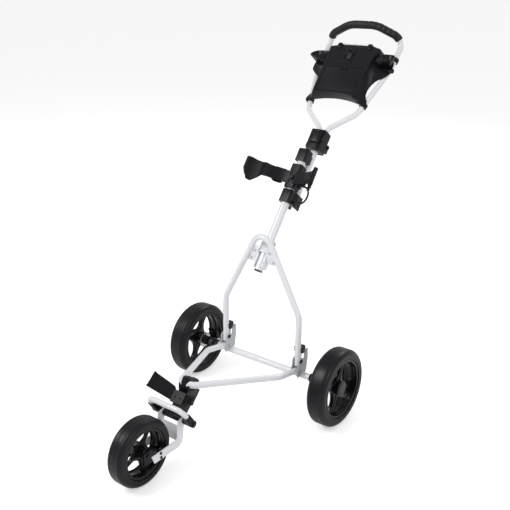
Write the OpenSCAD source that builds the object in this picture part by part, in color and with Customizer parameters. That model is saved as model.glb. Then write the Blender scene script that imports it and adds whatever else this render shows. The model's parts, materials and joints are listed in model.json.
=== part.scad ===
// Three-wheel golf push cart, standing unfolded.
// Right is +X, the front wheel points to -Y, up is +Z. The origin lies on the ground,
// under the middle of the whole cart. All sizes are in millimetres and degrees.

/* [Wheels] */
// Radius of each rear wheel over its tyre
rear_r = 125; // [122:1:132]
// Width of each rear tyre
rear_w = 63; // [58:1:66]
// Radius at which a rear tyre sits on its rim
rear_rim_r = 96; // [90:1:100]
// Radius of the front wheel over its tyre
front_r = 101; // [96:1:104]
// Width of the front tyre
front_w = 56; // [50:1:58]
// Radius at which the front tyre sits on its rim
front_rim_r = 76; // [70:1:80]
// Distance between the middles of the two rear tyres
track = 566; // [550:2:640]
// Distance from the rear axle forward to the front axle
wheelbase = 576; // [570:1:590]
// Radius of the rear axle stubs that carry the wheels
stub_r = 6; // [5:0.5:7]
// Radius of the front axle
front_axle_r = 5; // [4:0.5:6]
// Number of spokes in a rear wheel
rear_spokes = 4; // [3:1:5]
// Number of spokes in the front wheel
front_spokes = 5; // [4:1:6]

/* [Frame tubes] */
// Outer radius of the cross tube between the rear wheels
axle_r = 11; // [10:0.5:12]
// Outer radius of the lower frame and A-frame tubes
frame_r = 10; // [9:0.5:10.5]
// Wall of the steel tubes
tube_wall = 1.5; // [1:0.1:2]
// Distance from the middle of the cart to each A-frame leg
leg_x = 148; // [140:1:160]
// Length of the parallel rear ends of the lower frame
frame_straight = 95; // [80:1:110]
// Angle at which the lower frame rises towards its nose
frame_rise = 11.8; // [10:0.1:13]
// Bend radius of the nose of the lower frame
nose_bend = 34; // [28:1:36]
// Height of the A-frame pivot above the rear axle
pivot_rise = 53; // [50:1:56]
// Backward lean of the A-frame
a_lean = 2.9; // [1:0.1:5]
// Height of the A-frame shoulder bends above the pivot
shoulder_h = 149; // [140:1:160]
// Height at which the straight sides of the A-frame would meet
apex_h = 427; // [415:1:440]
// Bend radius of the A-frame top
apex_bend = 39; // [34:1:42]
// Thickness of the sheet metal brackets
sheet = 3; // [2.5:0.1:3.5]

/* [Shaft] */
// Backward lean of the shaft
shaft_lean = 39; // [36:0.5:42]
// Outer radius of the lower shaft tube
shaft_r = 14; // [13:0.5:15]
// Outer radius of the upper shaft tube
upper_r = 12.5; // [11.5:0.5:13]
// Distance between the middles of the two shaft tubes
shaft_gap = 46; // [45:1:49]
// Length of the lower shaft tube
shaft_len = 422; // [415:1:430]
// Radius of the golf bag that the upper cradle takes
bag_r = 128; // [120:1:134]
// Length of the upper cradle's arms, as an angle round the bag
cradle_arc = 136; // [120:1:140]

/* [Handle] */
// Backward lean of the handle
handle_lean = 46; // [42:0.5:50]
// Outer radius of the handle tube
handle_r = 9; // [8:0.5:9.5]
// Half of the width over the handle tube's middle lines
handle_half = 140; // [136:1:150]
// Length of the handle up to its top bends
handle_len = 378; // [372:1:390]
// Height of the grip's arch above the top bends
grip_rise = 67; // [55:1:80]
// Forward lean of the grip's arch
grip_lean = 17; // [5:1:25]
// Outer radius of the foam grip
grip_r = 13.5; // [12.5:0.5:15]
// Depth of the console from front to back
console_depth = 38; // [34:1:42]
// Radius of a cup at its mouth
cup_r = 23.5; // [23:0.5:25]

/* [Fits] */
// Radial clearance of a turning or sliding fit
run_fit = 0.05; // [0.02:0.01:0.08]
// Clearance between parts that are fixed together
seat_fit = 0.1; // [0.05:0.01:0.12]
// Gap between faces that pass each other
pass_gap = 0.4; // [0.3:0.1:0.5]
// Radius of the frame's pivot bolts
bolt_r = 4; // [3.5:0.5:4.5]

/* [Hidden] */
$fn = 64;

white = [0.95, 0.95, 0.96];
black = [0.10, 0.10, 0.11];
grey = [0.72, 0.73, 0.75];
steel = [0.62, 0.63, 0.65];
tyre_black = [0.16, 0.16, 0.17];

// ---- rear wheels, measured outwards from the middle of each tyre ----
hub_r = 22;
hub_in = -26;
hub_out = 23;
bush_r = 9;
bush_len = 12;
spoke_mid = 4;
spoke_t = 14;
barrel_t = 5;
tube_end = -40;
ring_t = 3.6;
ring_r = 26;
release_r = 16;
release_len = 19;
release_in = -50;

// ---- rear brackets ----
fold_y = -10;
fold_z = rear_r + pivot_rise;
leg_tail = 16;
plate_in = frame_r + 0.3;
plate_out = plate_in + sheet;
latch_y = 20;
latch_z = fold_z + 25;
latch_pin_r = 3;
ear_r = 10;
frame_z = rear_r + 19;
frame_y = -12;

// ---- lower frame and nose ----
nose_vertex = (wheelbase - 155 + frame_y) / cos(frame_rise);
straight_end = frame_straight / cos(frame_rise);
nose_y = -(wheelbase - 145);
nose_z = front_r + 39;
nose_pin_r = 5;
barrel_r = 11;
barrel_half = 37;
fork_in = barrel_half + 0.3;
fork_out = fork_in + sheet;
lug_in = fork_out + 0.7;
loop_r = 8;
loop_half = 68;
loop_len = 65;
loop_lean = 31.7;
lug_half = 10;
cradle_y = nose_y + 31;
cradle_z = nose_z + 50;
cradle_lean = 46;
paddle_root = 21;
paddle_lean = 36;

// ---- shaft, measured up the lower tube from its lower end ----
shaft_y = -15;
shaft_z = rear_r + 331;
cheek_in = shaft_r + 0.3;
cheek_out = cheek_in + sheet;
shaft_bolt_at = [62, 90];
collar_from = 237;
collar_to = 281;
collar_half = 20;
hinge_at = 259;
hinge_tail = 12;
cradle_from = 300;
cradle_to = 342;
sleeve_to = 370;
paddle_from = 262;
paddle_to = 338;
cradle_t = 7.6;
head_from = 384;
clamp_from = 447;
clamp_split = 480;
clamp_to = 520;
clamp_half = 26;
clamp_depth = 23;
knuckle_y = shaft_gap + 28;
knuckle_r = 8;
knuckle_half = 13;
lever_y = shaft_gap - clamp_depth - 6;
lever_at = 461;

// ---- handle, measured up from the top of the clamp ----
root_x = 15.5;
flare_x = 96;
flare_t = 86;
widen_t = 270;
arch_side = handle_half - 14;
arch_side_h = 0.47 * grip_rise;
arch_top = handle_half - 88;
console_bottom = 112;
console_top = 338;
console_back = -11;
console_front = console_back - console_depth;
lid_bottom = 136;
lid_top = 234;
lid_half = 72;
lid_t = 2.6;
cup_x = handle_half - 3;
cup_t = 290;
cup_y = -44;
cup_len = 36;
cup_wall = 2;
cup_tip = 6;
console_wall = 3;
clip_t = 285;
ear_x = 50;

// ---- the middle of the cart from front to back ----
top_bend = [handle_half, 0, handle_len];
grip_side = to_grip([arch_side, arch_side_h]);
grip_dir = unit(grip_side - top_bend);
grip_start = top_bend + grip_dir * 20;
handle_y = shaft_y + clamp_to * sin(shaft_lean) + shaft_gap * cos(shaft_lean);
handle_z = shaft_z + clamp_to * cos(shaft_lean) - shaft_gap * sin(shaft_lean);
grip_cart_y = handle_y + grip_start.y * cos(handle_lean) + grip_start.z * sin(handle_lean);
grip_dir_y = grip_dir.y * cos(handle_lean) + grip_dir.z * sin(handle_lean);
back_y = grip_cart_y + grip_r * sqrt(1 - grip_dir_y * grip_dir_y);
mid_y = (back_y - wheelbase - front_r) / 2;

// ---- helpers ----
bend_lap = 0.6;
bend_swell = 0.05;
function unit(v) = v / norm(v);
function turn(a, b, c) = acos(unit(b - a) * unit(c - b));
function setback(p, i, bend) = bend[i] * tan(turn(p[i - 1], p[i], p[i + 1]) / 2);
function flip(p) = [-p.x, p.y, p.z];
function mirrored(p) = concat(p, [for (i = [len(p) - 1 : -1 : 0]) flip(p[i])]);
function round_list(b) = concat(b, [for (i = [len(b) - 1 : -1 : 0]) b[i]]);
// a point of the grip's arch, given across and up the arch, in the handle's own frame
function to_grip(q) = [
    q.x,
    -q.y * sin(handle_lean + grip_lean),
    handle_len + q.y * cos(handle_lean + grip_lean)
];

module place() {
    translate([0, -mid_y, 0]) children();
}

module between(a, b, r) {
    d = b - a;
    translate(a)
        rotate([0, acos(d.z / norm(d)), atan2(d.y, d.x)])
            cylinder(r = r, h = norm(d));
}

// one bend of a tube at the point b, on the way from a to c
module elbow(a, b, c, bend, r) {
    $fn = 32;
    u = unit(b - a);
    w = unit(c - b);
    angle = acos(u * w);
    m = (w - u * cos(angle)) / sin(angle);
    start = b - u * bend * tan(angle / 2);
    middle = start + m * bend;
    axis = cross(-m, u);
    multmatrix([
        [-m.x, u.x, axis.x, middle.x],
        [-m.y, u.y, axis.y, middle.y],
        [-m.z, u.z, axis.z, middle.z]
    ])
        rotate_extrude(angle = angle)
            translate([bend, 0]) circle(r = r);
}

// a round bar through the points p, with the bend radii of its inner points; the bends are
// a hair thicker, so that each straight length ends inside them
module bar(p, bend, r, over = 0) {
    $fn = 32;
    last = len(p) - 1;
    for (i = [0 : last - 1]) {
        d = unit(p[i + 1] - p[i]);
        from = i == 0 ? -over : setback(p, i, bend) - bend_lap;
        to = i == last - 1 ? -over : setback(p, i + 1, bend) - bend_lap;
        between(p[i] + d * from, p[i + 1] - d * to, r);
    }
    for (i = [1 : last - 1]) elbow(p[i - 1], p[i], p[i + 1], bend[i], r + bend_swell);
}

module pipe(p, bend, r, wall) {
    difference() {
        bar(p, bend, r);
        bar(p, bend, r - wall, 1);
    }
}

module across(r, from, to, y = 0, z = 0) {
    translate([from, y, z]) rotate([0, 90, 0]) cylinder(r = r, h = to - from);
}

// a flat plate that stands along the cart, drawn as [y, z] points
module side_plate(from, to) {
    translate([from, 0, 0]) rotate([90, 0, 90]) linear_extrude(to - from) children();
}

// turned round the X axis from a profile of [radius, distance] points
module turned() {
    rotate([0, 90, 0]) rotate_extrude($fn = 96) children();
}

module rounded_rect(x0, x1, y0, y1, r) {
    translate([x0 + r, y0]) square([x1 - x0 - 2 * r, y1 - y0]);
    translate([x0, y0 + r]) square([x1 - x0, y1 - y0 - 2 * r]);
    for (x = [x0 + r, x1 - r], y = [y0 + r, y1 - r]) translate([x, y]) circle(r = r);
}

module rounded_post(x0, x1, y0, y1, z0, z1, r) {
    translate([0, 0, z0]) linear_extrude(z1 - z0) rounded_rect(x0, x1, y0, y1, r);
}

module on_side(side) {
    translate([side * track / 2, 0, rear_r])
        mirror([side < 0 ? 1 : 0, 0, 0]) children();
}

module on_front() {
    translate([0, -wheelbase, front_r]) children();
}

module on_leg(side) {
    translate([side * leg_x, 0, 0]) mirror([side < 0 ? 1 : 0, 0, 0]) children();
}

module on_pivot() {
    translate([0, fold_y, fold_z]) rotate([-a_lean, 0, 0]) children();
}

module on_shaft() {
    translate([0, shaft_y, shaft_z]) rotate([-shaft_lean, 0, 0]) children();
}

module on_handle() {
    translate([0, handle_y, handle_z]) rotate([-handle_lean, 0, 0]) children();
}

module on_lower_cradle() {
    translate([0, cradle_y, cradle_z]) rotate([-cradle_lean, 0, 0]) children();
}

module both_sides() {
    children();
    mirror([1, 0, 0]) children();
}

// a bolt along X with a domed head at each end
module cross_bolt(r, half, y, z, head) {
    across(r, -half, half, y, z);
    both_sides() {
        across(head, half, half + 2, y, z);
        across(head * 0.7, half + 2, half + 3.2, y, z);
    }
}

// ---- wheels ----
module tyre(r, w, rim_r) {
    half = w / 2;
    shoulder = 0.48 * (r - rim_r);
    color(tyre_black) turned() difference() {
        union() {
            translate([rim_r, -half]) square([r - rim_r - shoulder, w]);
            translate([rim_r, shoulder - half]) square([r - rim_r, w - 2 * shoulder]);
            for (u = [shoulder - half, half - shoulder])
                translate([r - shoulder, u]) circle(r = shoulder);
        }
        for (u = [-half, half]) translate([rim_r + 7, u]) circle(r = 2.2);
    }
}

module spoke_disc(rim_r, hub, count, spin, mid, t) {
    inner = rim_r - barrel_t;
    reach = 0.84 * inner;
    window = reach - hub - 9;
    rotate([spin, 0, 0]) rotate([0, 90, 0])
        translate([0, 0, mid - t / 2]) linear_extrude(t) difference() {
            circle(r = inner + 1);
            for (i = [0 : count - 1]) rotate(360 * (i + 0.5) / count)
                intersection() {
                    circle(r = inner - 4);
                    translate([reach, 0]) circle(r = min(window, 0.62 * inner * 4 / count));
                }
        }
}

module wheel_rim(rim_r, w, hub, hub_from, hub_to, bore, count, spin, mid, t) {
    half = w / 2;
    outer = rim_r - seat_fit;
    color(black) difference() {
        union() {
            turned() translate([rim_r - barrel_t, 3 - half])
                square([barrel_t - seat_fit, w - 6]);
            both_rims(outer, half);
            spoke_disc(rim_r, hub, count, spin, mid, t);
            across(hub, hub_from, hub_to);
        }
        across(bore, hub_from - 1, hub_to + 1);
    }
}

// the two thicker edges of a rim
module both_rims(outer, half) {
    turned() for (s = [-1, 1])
        translate([outer - 8, s * (half - 5.5) - 2.5]) square([8, 5]);
}

module bush(from, to, flange, outer, bore) {
    color(steel) turned() {
        translate([bore, from]) square([outer - bore, to - from]);
        translate([bore, flange]) square([outer + 3 - bore, 1.5]);
    }
}

module rear_bushes() {
    bush(hub_in, hub_in + bush_len, hub_in - 1.5, bush_r, stub_r + run_fit);
    bush(hub_out - bush_len - 2, hub_out - 2, hub_out - 2, bush_r, stub_r + run_fit);
}

module rear_rim(spin) {
    difference() {
        wheel_rim(
            rear_rim_r, rear_w, hub_r, hub_in, hub_out, bush_r + seat_fit,
            rear_spokes, spin, spoke_mid, spoke_t
        );
        across(bush_r + 3 + seat_fit, hub_out - 2.1, hub_out + 1);
    }
}

module hub_cap() {
    color(grey) turned() {
        translate([0, hub_out + seat_fit]) square([hub_r + 3, 1.6]);
        translate([0, hub_out + 1.6]) square([hub_r, 2]);
        translate([0, hub_out + 3.6]) square([hub_r - 5, 1.2]);
    }
}

module left_tyre() { place() on_side(-1) tyre(rear_r, rear_w, rear_rim_r); }

module right_tyre() { place() on_side(1) tyre(rear_r, rear_w, rear_rim_r); }

module left_rim() { place() on_side(-1) rear_rim(-22); }

module right_rim() { place() on_side(1) rear_rim(-22); }

module left_bushes() { place() on_side(-1) rear_bushes(); }

module right_bushes() { place() on_side(1) rear_bushes(); }

module left_hub_cap() { place() on_side(-1) hub_cap(); }

module right_hub_cap() { place() on_side(1) hub_cap(); }

// the toothed ring that the parking brake holds
module brake_ring() {
    teeth = 12;
    place() on_side(-1) color(steel)
        translate([hub_in - seat_fit, 0, 0]) rotate([0, -90, 0])
            linear_extrude(ring_t) difference() {
                circle(r = ring_r);
                circle(r = bush_r + 4);
                for (i = [0 : teeth - 1]) rotate(360 * i / teeth)
                    translate([ring_r, 0]) circle(r = 3);
            }
}

module front_tyre() { place() on_front() tyre(front_r, front_w, front_rim_r); }

module front_rim() {
    place() on_front() wheel_rim(
        front_rim_r, front_w, 17, -front_w / 2, front_w / 2, bush_r + seat_fit,
        front_spokes, -18, 0, 12
    );
}

module front_bushes() {
    half = front_w / 2;
    place() on_front() {
        bush(-half, bush_len - half, -half - 1.5, bush_r, front_axle_r + run_fit);
        bush(half - bush_len, half, half, bush_r, front_axle_r + run_fit);
    }
}

// ---- rear axle ----
module axle_tube() {
    reach = track / 2 + tube_end;
    place() color(white) difference() {
        across(axle_r, -reach, reach, 0, rear_r);
        across(axle_r - tube_wall, -reach - 1, reach + 1, 0, rear_r);
    }
}

module axle_stubs() {
    place() for (side = [-1, 1]) on_side(side) color(steel) turned()
        polygon([
            [0, tube_end - 45], [axle_r - tube_wall - seat_fit, tube_end - 45],
            [axle_r - tube_wall - seat_fit, tube_end], [stub_r, tube_end],
            [stub_r, hub_out - 0.6], [0, hub_out - 0.6]
        ]);
}

module release() {
    color(black) turned() difference() {
        union() {
            translate([axle_r + run_fit, release_in])
                square([release_r - axle_r, release_len - 2]);
            translate([axle_r + run_fit, release_in])
                square([release_r - axle_r - 2, release_len]);
        }
        for (u = [5, 9, 13]) translate([release_r + 1, release_in + u]) circle(r = 1.6);
    }
}

module left_release() { place() on_side(-1) release(); }

module right_release() { place() on_side(1) release(); }

// ---- rear brackets and frame latches ----
module bracket_outline() {
    z = rear_r;
    difference() {
        union() {
            polygon([
                [-30, z + 2], [-31, z + 22], [-23, z + 44], [-22, z + 56], [fold_y, z + 60],
                [3, z + 56], [8, z + 58], [latch_y - ear_r, z + 66], [latch_y - ear_r, latch_z],
                [latch_y + ear_r, latch_z], [28, z + 50], [20, z + 12], [14, z + 2]
            ]);
            translate([latch_y, latch_z]) circle(r = ear_r);
            translate([fold_y, fold_z]) circle(r = 12);
        }
        translate([fold_y, fold_z]) circle(r = bolt_r + run_fit);
        translate([latch_y, latch_z]) circle(r = latch_pin_r + run_fit);
        translate([frame_y, frame_z]) circle(r = 3 + run_fit);
        translate([0, z]) circle(r = axle_r + seat_fit);
    }
}

module bracket() {
    color(grey) {
        side_plate(-plate_out, -plate_in) bracket_outline();
        side_plate(plate_in, plate_out) bracket_outline();
        translate([-plate_in - 1, 13, rear_r + 12]) cube([2 * plate_in + 2, sheet, 24]);
    }
}

module left_bracket() { place() on_leg(-1) bracket(); }

module right_bracket() { place() on_leg(1) bracket(); }

module pivot_bolts() {
    place() color(black) for (side = [-1, 1]) on_leg(side)
        cross_bolt(bolt_r, plate_out + seat_fit, fold_y, fold_z, 7);
}

module bracket_rivets() {
    place() color(steel) for (side = [-1, 1]) on_leg(side)
        cross_bolt(3, plate_out + seat_fit, frame_y, frame_z, 5);
}

module latch_pins() {
    place() color(steel) for (side = [-1, 1]) on_leg(side)
        cross_bolt(latch_pin_r, plate_out + seat_fit, latch_y, latch_z, 5);
}

// the black block behind each leg, which locks the A-frame upright
module latch() {
    lean = tan(a_lean);
    color(black) difference() {
        union() {
            translate([-plate_in + pass_gap, 4.5, latch_z - 4])
                cube([2 * plate_in - 2 * pass_gap, latch_y - 4.5, 24]);
            across(7.5, -plate_in + pass_gap, plate_in - pass_gap, latch_y, latch_z);
            translate([-15, -7, latch_z + 3]) cube([30, latch_y - ear_r + 5.5, 18]);
        }
        translate([0, fold_y, fold_z]) rotate([-a_lean, 0, 0])
            cylinder(r = frame_r + pass_gap, h = 90);
        across(latch_pin_r + run_fit, -20, 20, latch_y, latch_z);
    }
}

module left_latch() { place() on_leg(-1) latch(); }

module right_latch() { place() on_leg(1) latch(); }

// ---- parking brake on the left end of the axle ----
brake_u = -62;
brake_half = 7;
brake_y = 25;

module brake_post() {
    place() on_side(-1) color(steel) difference() {
        union() {
            across(axle_r + 4, brake_u - brake_half, brake_u + brake_half);
            for (u = [-brake_half, brake_half - 3])
                side_plate(brake_u + u, brake_u + u + 3) {
                    translate([0, -7]) square([brake_y, 14]);
                    translate([brake_y, 0]) circle(r = 7);
                }
            across(3, brake_u - brake_half - 2, brake_u + brake_half + 2, brake_y);
        }
        across(axle_r + seat_fit, brake_u - 20, brake_u + 20);
    }
}

module brake_lever() {
    half = brake_half - 3 - pass_gap;
    place() on_side(-1) color(black) difference() {
        union() {
            side_plate(brake_u - half, brake_u + half) {
                translate([brake_y, 0]) circle(r = 6.5);
                polygon([
                    [brake_y + 2, -6], [brake_y + 30, 4], [brake_y + 34, 12],
                    [brake_y + 10, 14], [brake_y + 4, 36], [brake_y - 4, 36], [brake_y - 4, 4]
                ]);
            }
            translate([brake_u - 11, brake_y + 22, 6]) cube([22, 14, 5]);
            translate([brake_u - half, brake_y - 4, 28]) cube([half - brake_u - 27, 8, 8]);
        }
        across(3 + run_fit, brake_u - 20, brake_u + 20, brake_y);
    }
}

// ---- lower frame and nose ----
frame_path = [
    [leg_x, 0, 0], [leg_x, -straight_end, 0], [0, -nose_vertex, 0],
    [-leg_x, -straight_end, 0], [-leg_x, 0, 0]
];
frame_bends = [0, 45, nose_bend, 45, 0];

module on_frame() {
    translate([0, frame_y, frame_z]) rotate([-frame_rise, 0, 0]) children();
}

module lower_frame() {
    place() color(white) difference() {
        on_frame() pipe(
            concat([frame_path[0] + [0, 5, 0]], [for (i = [1 : 3]) frame_path[i]],
                [frame_path[4] + [0, 5, 0]]),
            frame_bends, frame_r, tube_wall
        );
        across(3 + run_fit, -leg_x - 20, leg_x + 20, frame_y, frame_z);
    }
}

module nose_casting() {
    place() color(black) difference() {
        union() {
            side_plate(-20, 20) polygon([
                [nose_y + 93, nose_z + 60], [nose_y + 93, nose_z + 82],
                [nose_y + 60, nose_z + 86], [nose_y + 48, nose_z + 80],
                [nose_y + 45, nose_z + 53], [nose_y + 19, nose_z + 27],
                [nose_y - 8, nose_z + 6], [nose_y, nose_z - 10], [nose_y + 26, nose_z - 9],
                [nose_y + 60, nose_z + 20]
            ]);
            translate([0, nose_y + 58, nose_z + 78]) rotate([-8, 0, 0])
                rounded_post(-13, 13, -13, 11, -8, 24, 9);
            across(barrel_r, -barrel_half, barrel_half, nose_y, nose_z);
            translate([-10, nose_y + 88, nose_z + 66]) cube([20, 12, 12]);
        }
        on_frame() bar(frame_path, frame_bends, frame_r + seat_fit);
        across(nose_pin_r + run_fit, -60, 60, nose_y, nose_z);
    }
}

module nose_pin() {
    end = loop_half + lug_half + seat_fit;
    place() color(steel) cross_bolt(nose_pin_r, end, nose_y, nose_z, 8);
}

module paddle_outline() {
    polygon([[0, -22], [0, 10], [9, 20], [30, 24], [78, 32], [84, 28], [86, -10], [80, -16]]);
    translate([80, 30]) circle(r = 4);
    translate([84, -12]) circle(r = 4);
}

module on_paddle() {
    translate([paddle_root, 0, 0]) rotate([0, 0, -paddle_lean]) children();
}

module lower_cradle() {
    place() on_lower_cradle() color(black) difference() {
        union() {
            translate([-22, -9, -25]) cube([44, 16.5, 37]);
            both_sides() on_paddle() {
                rotate([90, 0, 0]) linear_extrude(6) paddle_outline();
                translate([14, -8, -14]) cube([62, 3, 4]);
            }
        }
        for (x = [-11, 11]) translate([x, 20, -8]) rotate([90, 0, 0])
            cylinder(r = 2.5, h = 40);
    }
}

module on_loop() {
    translate([0, nose_y, nose_z]) rotate([loop_lean, 0, 0]) children();
}

module loop_lugs() {
    place() on_loop() color(black) both_sides() difference() {
        union() {
            across(barrel_r, lug_in, loop_half + lug_half);
            rounded_post(
                loop_half - lug_half, loop_half + lug_half, -lug_half, lug_half, 0, 38, 4
            );
        }
        across(nose_pin_r + run_fit, 0, 100);
        translate([loop_half, 0, 16]) cylinder(r = loop_r + seat_fit, h = 40);
    }
}

module base_loop() {
    place() on_loop() color(white) pipe(
        mirrored([[loop_half, 0, 17], [loop_half, 0, loop_len]]),
        [0, 24, 24, 0], loop_r, tube_wall
    );
}

// ---- front fork ----
module fork_outline() {
    y = nose_y;
    z = nose_z;
    difference() {
        union() {
            polygon([
                [y + 12, z - 8], [y - 3, z - 16], [y - 9, z - 50], [y - 16, z - 70],
                [y - 30, z - 76], [y - 128, z - 74], [y - 137, z - 48], [y - 40, z - 48],
                [y - 33, z - 40], [y - 27, z + 8], [y - 8, z + 12]
            ]);
            translate([y, z]) circle(r = 14);
        }
        translate([y, z]) circle(r = nose_pin_r + run_fit);
        for (h = [-54, -68]) translate([y - 102, z + h]) circle(r = 2.5 + seat_fit);
    }
}

module front_fork() {
    place() color(white) {
        side_plate(-fork_out, -fork_in) fork_outline();
        side_plate(fork_in, fork_out) fork_outline();
        translate([-fork_in - 1, nose_y - 22, nose_z - 64]) cube([2 * fork_in + 2, sheet, 54]);
    }
}

block_in = front_w / 2 + 2.4;

module axle_blocks() {
    place() color(black) both_sides() difference() {
        side_plate(block_in, fork_in - seat_fit) translate([-wheelbase, front_r]) {
            rounded_rect(-18, 30, -26, 4, 3);
            rounded_rect(-18, 16, -26, 14, 6);
        }
        across(front_axle_r + run_fit, 0, 60, -wheelbase, front_r);
        for (h = [-54, -68]) across(2.5 + seat_fit, 0, 60, nose_y - 102, nose_z + h);
    }
}

module front_axle() {
    place() color(steel)
        cross_bolt(front_axle_r, fork_in + seat_fit, -wheelbase, front_r, 8);
}

module track_screws() {
    place() color(black) both_sides() for (h = [-54, -68]) {
        across(2.5, block_in + 1, fork_out + seat_fit, nose_y - 102, nose_z + h);
        across(4.2, fork_out + seat_fit, fork_out + 2, nose_y - 102, nose_z + h);
    }
}

// ---- A-frame and arch ----
a_side = [[leg_x, 0, -leg_tail], [leg_x, 0, shoulder_h]];
a_path = concat(a_side, [[0, 0, apex_h]], [flip(a_side[1]), flip(a_side[0])]);
a_bends = [0, 60, apex_bend, 60, 0];
a_angle = atan(leg_x / (apex_h - shoulder_h));

module a_frame() {
    place() color(white) difference() {
        on_pivot() pipe(a_path, a_bends, frame_r, tube_wall);
        across(bolt_r + run_fit, -leg_x - 20, leg_x + 20, fold_y, fold_z);
    }
}

function leg_edge(t) = (apex_h - t) * tan(a_angle) - (frame_r + seat_fit) / cos(a_angle);
wing_from = 298;
wing_to = 350;

module arch_bracket() {
    place() color(white) {
        on_pivot() both_sides() rotate([90, 0, 0]) translate([0, 0, -sheet / 2])
            linear_extrude(sheet) difference() {
                polygon([
                    [cheek_in + 1, wing_from], [leg_edge(wing_from), wing_from],
                    [leg_edge(wing_to), wing_to], [cheek_in + 1, wing_to + 4]
                ]);
                for (t = [wing_from + 10, wing_to - 14])
                    translate([leg_edge(t) - 8, t]) circle(r = 2.5 + seat_fit);
            }
        on_shaft() difference() {
            union() {
                both_sides() side_plate(cheek_in, cheek_out)
                    rounded_rect(-15, 15, 6, 106, 8);
                translate([-cheek_out, -cheek_out, 58])
                    cube([2 * cheek_out, sheet, 34]);
                both_sides() translate([cheek_in, -cheek_in - 1, 58]) cube([sheet, 5, 34]);
            }
            for (s = shaft_bolt_at) across(bolt_r + run_fit, -30, 30, 0, s);
        }
    }
}

module shaft_bolts() {
    place() on_shaft() color(black)
        for (s = shaft_bolt_at) cross_bolt(bolt_r, cheek_out + seat_fit, 0, s, 7);
}

module arch_screws() {
    place() on_pivot() color(steel) both_sides() for (t = [wing_from + 10, wing_to - 14])
        translate([leg_edge(t) - 8, 0, t]) rotate([90, 0, 0]) {
            translate([0, 0, -sheet / 2 - 2]) cylinder(r = 2.5, h = sheet + 3);
            translate([0, 0, sheet / 2 + seat_fit]) cylinder(r = 4.5, h = 2);
        }
}

// ---- shaft ----
module shaft_lower() {
    place() on_shaft() color(white) difference() {
        cylinder(r = shaft_r, h = shaft_len);
        translate([0, 0, -1]) cylinder(r = shaft_r - tube_wall, h = shaft_len + 2);
        for (s = shaft_bolt_at) across(bolt_r + run_fit, -30, 30, 0, s);
    }
}

module shaft_cap() {
    place() on_shaft() color(black) {
        translate([0, 0, -3]) cylinder(r = shaft_r, h = 3 - seat_fit);
        translate([0, 0, -1]) cylinder(r = shaft_r - tube_wall - seat_fit, h = 14);
    }
}

// holds the lower tube and is the clevis in which the upper tube folds back
module pivot_collar() {
    back = shaft_gap + upper_r + 3.5;
    slot = upper_r + pass_gap;
    place() on_shaft() color(black) difference() {
        union() {
            rounded_post(
                -collar_half, collar_half, -shaft_r - 4, back, collar_from, collar_to, 7
            );
            for (y = [4 : 7 : 25])
                translate([-collar_half - 1.5, y, collar_from + 4])
                    cube([2 * collar_half + 3, 3, collar_to - collar_from - 8]);
        }
        translate([0, 0, collar_from - 1])
            cylinder(r = shaft_r + seat_fit, h = collar_to - collar_from + 2);
        translate([-slot, shaft_gap - upper_r - 6, collar_from - 1])
            cube([2 * slot, back, collar_to - collar_from + 2]);
        across(bolt_r + run_fit, -40, 40, shaft_gap, hinge_at);
    }
}

module collar_pin() {
    place() on_shaft() color(steel)
        cross_bolt(bolt_r, collar_half + seat_fit, shaft_gap, hinge_at, 7);
}

module arc_band(r0, r1, from, to, start, angle) {
    translate([0, -bag_r - shaft_r - cradle_t - 0.3, 0]) rotate([0, 0, start])
        rotate_extrude(angle = angle, $fn = 128)
            translate([r0, from]) square([r1 - r0, to - from]);
}

module upper_cradle() {
    out = bag_r + cradle_t;
    first = 90 - cradle_arc / 2;
    place() on_shaft() color(black) difference() {
        union() {
            rounded_post(
                -collar_half, collar_half, -shaft_r - 7, shaft_r + 5, 286, sleeve_to, 6
            );
            arc_band(bag_r, out, cradle_from, cradle_to, first, cradle_arc);
            both_sides() {
                arc_band(bag_r + 3, out + 4, paddle_from, paddle_to, first, 25);
                arc_band(bag_r + 3.4, out + 8, paddle_from + 1, paddle_to - 1, first - 3, 4);
                arc_band(out - 1, out + 4, cradle_from - 6, cradle_to + 4, 62, 14);
                arc_band(out - 2, out + 2.5, cradle_from + 8, cradle_from + 13, first + 2, 58);
            }
        }
        translate([0, 0, 280]) cylinder(r = shaft_r + seat_fit, h = 110);
        for (s = screw_rows, x = [-10, 10]) translate([x, -10, s]) rotate([90, 0, 0]) {
            cylinder(r = 2.5 + seat_fit, h = 30);
            translate([0, 0, screw_seat - 10 - seat_fit])
                cylinder(r = 4.5 + seat_fit, h = 20);
        }
    }
}

screw_rows = [308, 334];
screw_seat = shaft_r + cradle_t - 2.3;

module cradle_screws() {
    place() on_shaft() color(steel)
        for (s = screw_rows, x = [-10, 10]) translate([x, 0, s]) rotate([90, 0, 0]) {
            translate([0, 0, shaft_r + 1]) cylinder(r = 2.5, h = screw_seat - shaft_r);
            translate([0, 0, screw_seat]) cylinder(r = 4.5, h = 2);
        }
}

// the elastic loop that ties the golf bag to the cradle
module upper_strap() {
    x = collar_half + seat_fit;
    place() on_shaft() color(black) bar(
        [
            [x, 10, 306], [50, 10, 306], [62, 10, 290], [62, 10, 258], [50, 10, 244],
            [x + 1.5, 10, 244]
        ],
        [0, 9, 9, 9, 9, 0], 3
    );
}

// closes the lower tube and cradles the upper tube
module shaft_head() {
    top = shaft_len + 5;
    place() on_shaft() color(black) difference() {
        union() {
            rounded_post(-19, 19, -shaft_r - 5, shaft_r + 5, head_from, top, 6);
            rounded_post(-9, 9, 0, shaft_gap - 4, head_from + 8, top - 6, 3);
        }
        translate([0, 0, head_from - 1])
            cylinder(r = shaft_r + seat_fit, h = shaft_len - head_from + 1 + seat_fit);
        translate([0, shaft_gap, head_from - 1]) cylinder(r = upper_r + pass_gap, h = 60);
        translate([-upper_r - pass_gap, shaft_gap, head_from - 1])
            cube([2 * upper_r + 2 * pass_gap, 30, 60]);
    }
}

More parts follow.
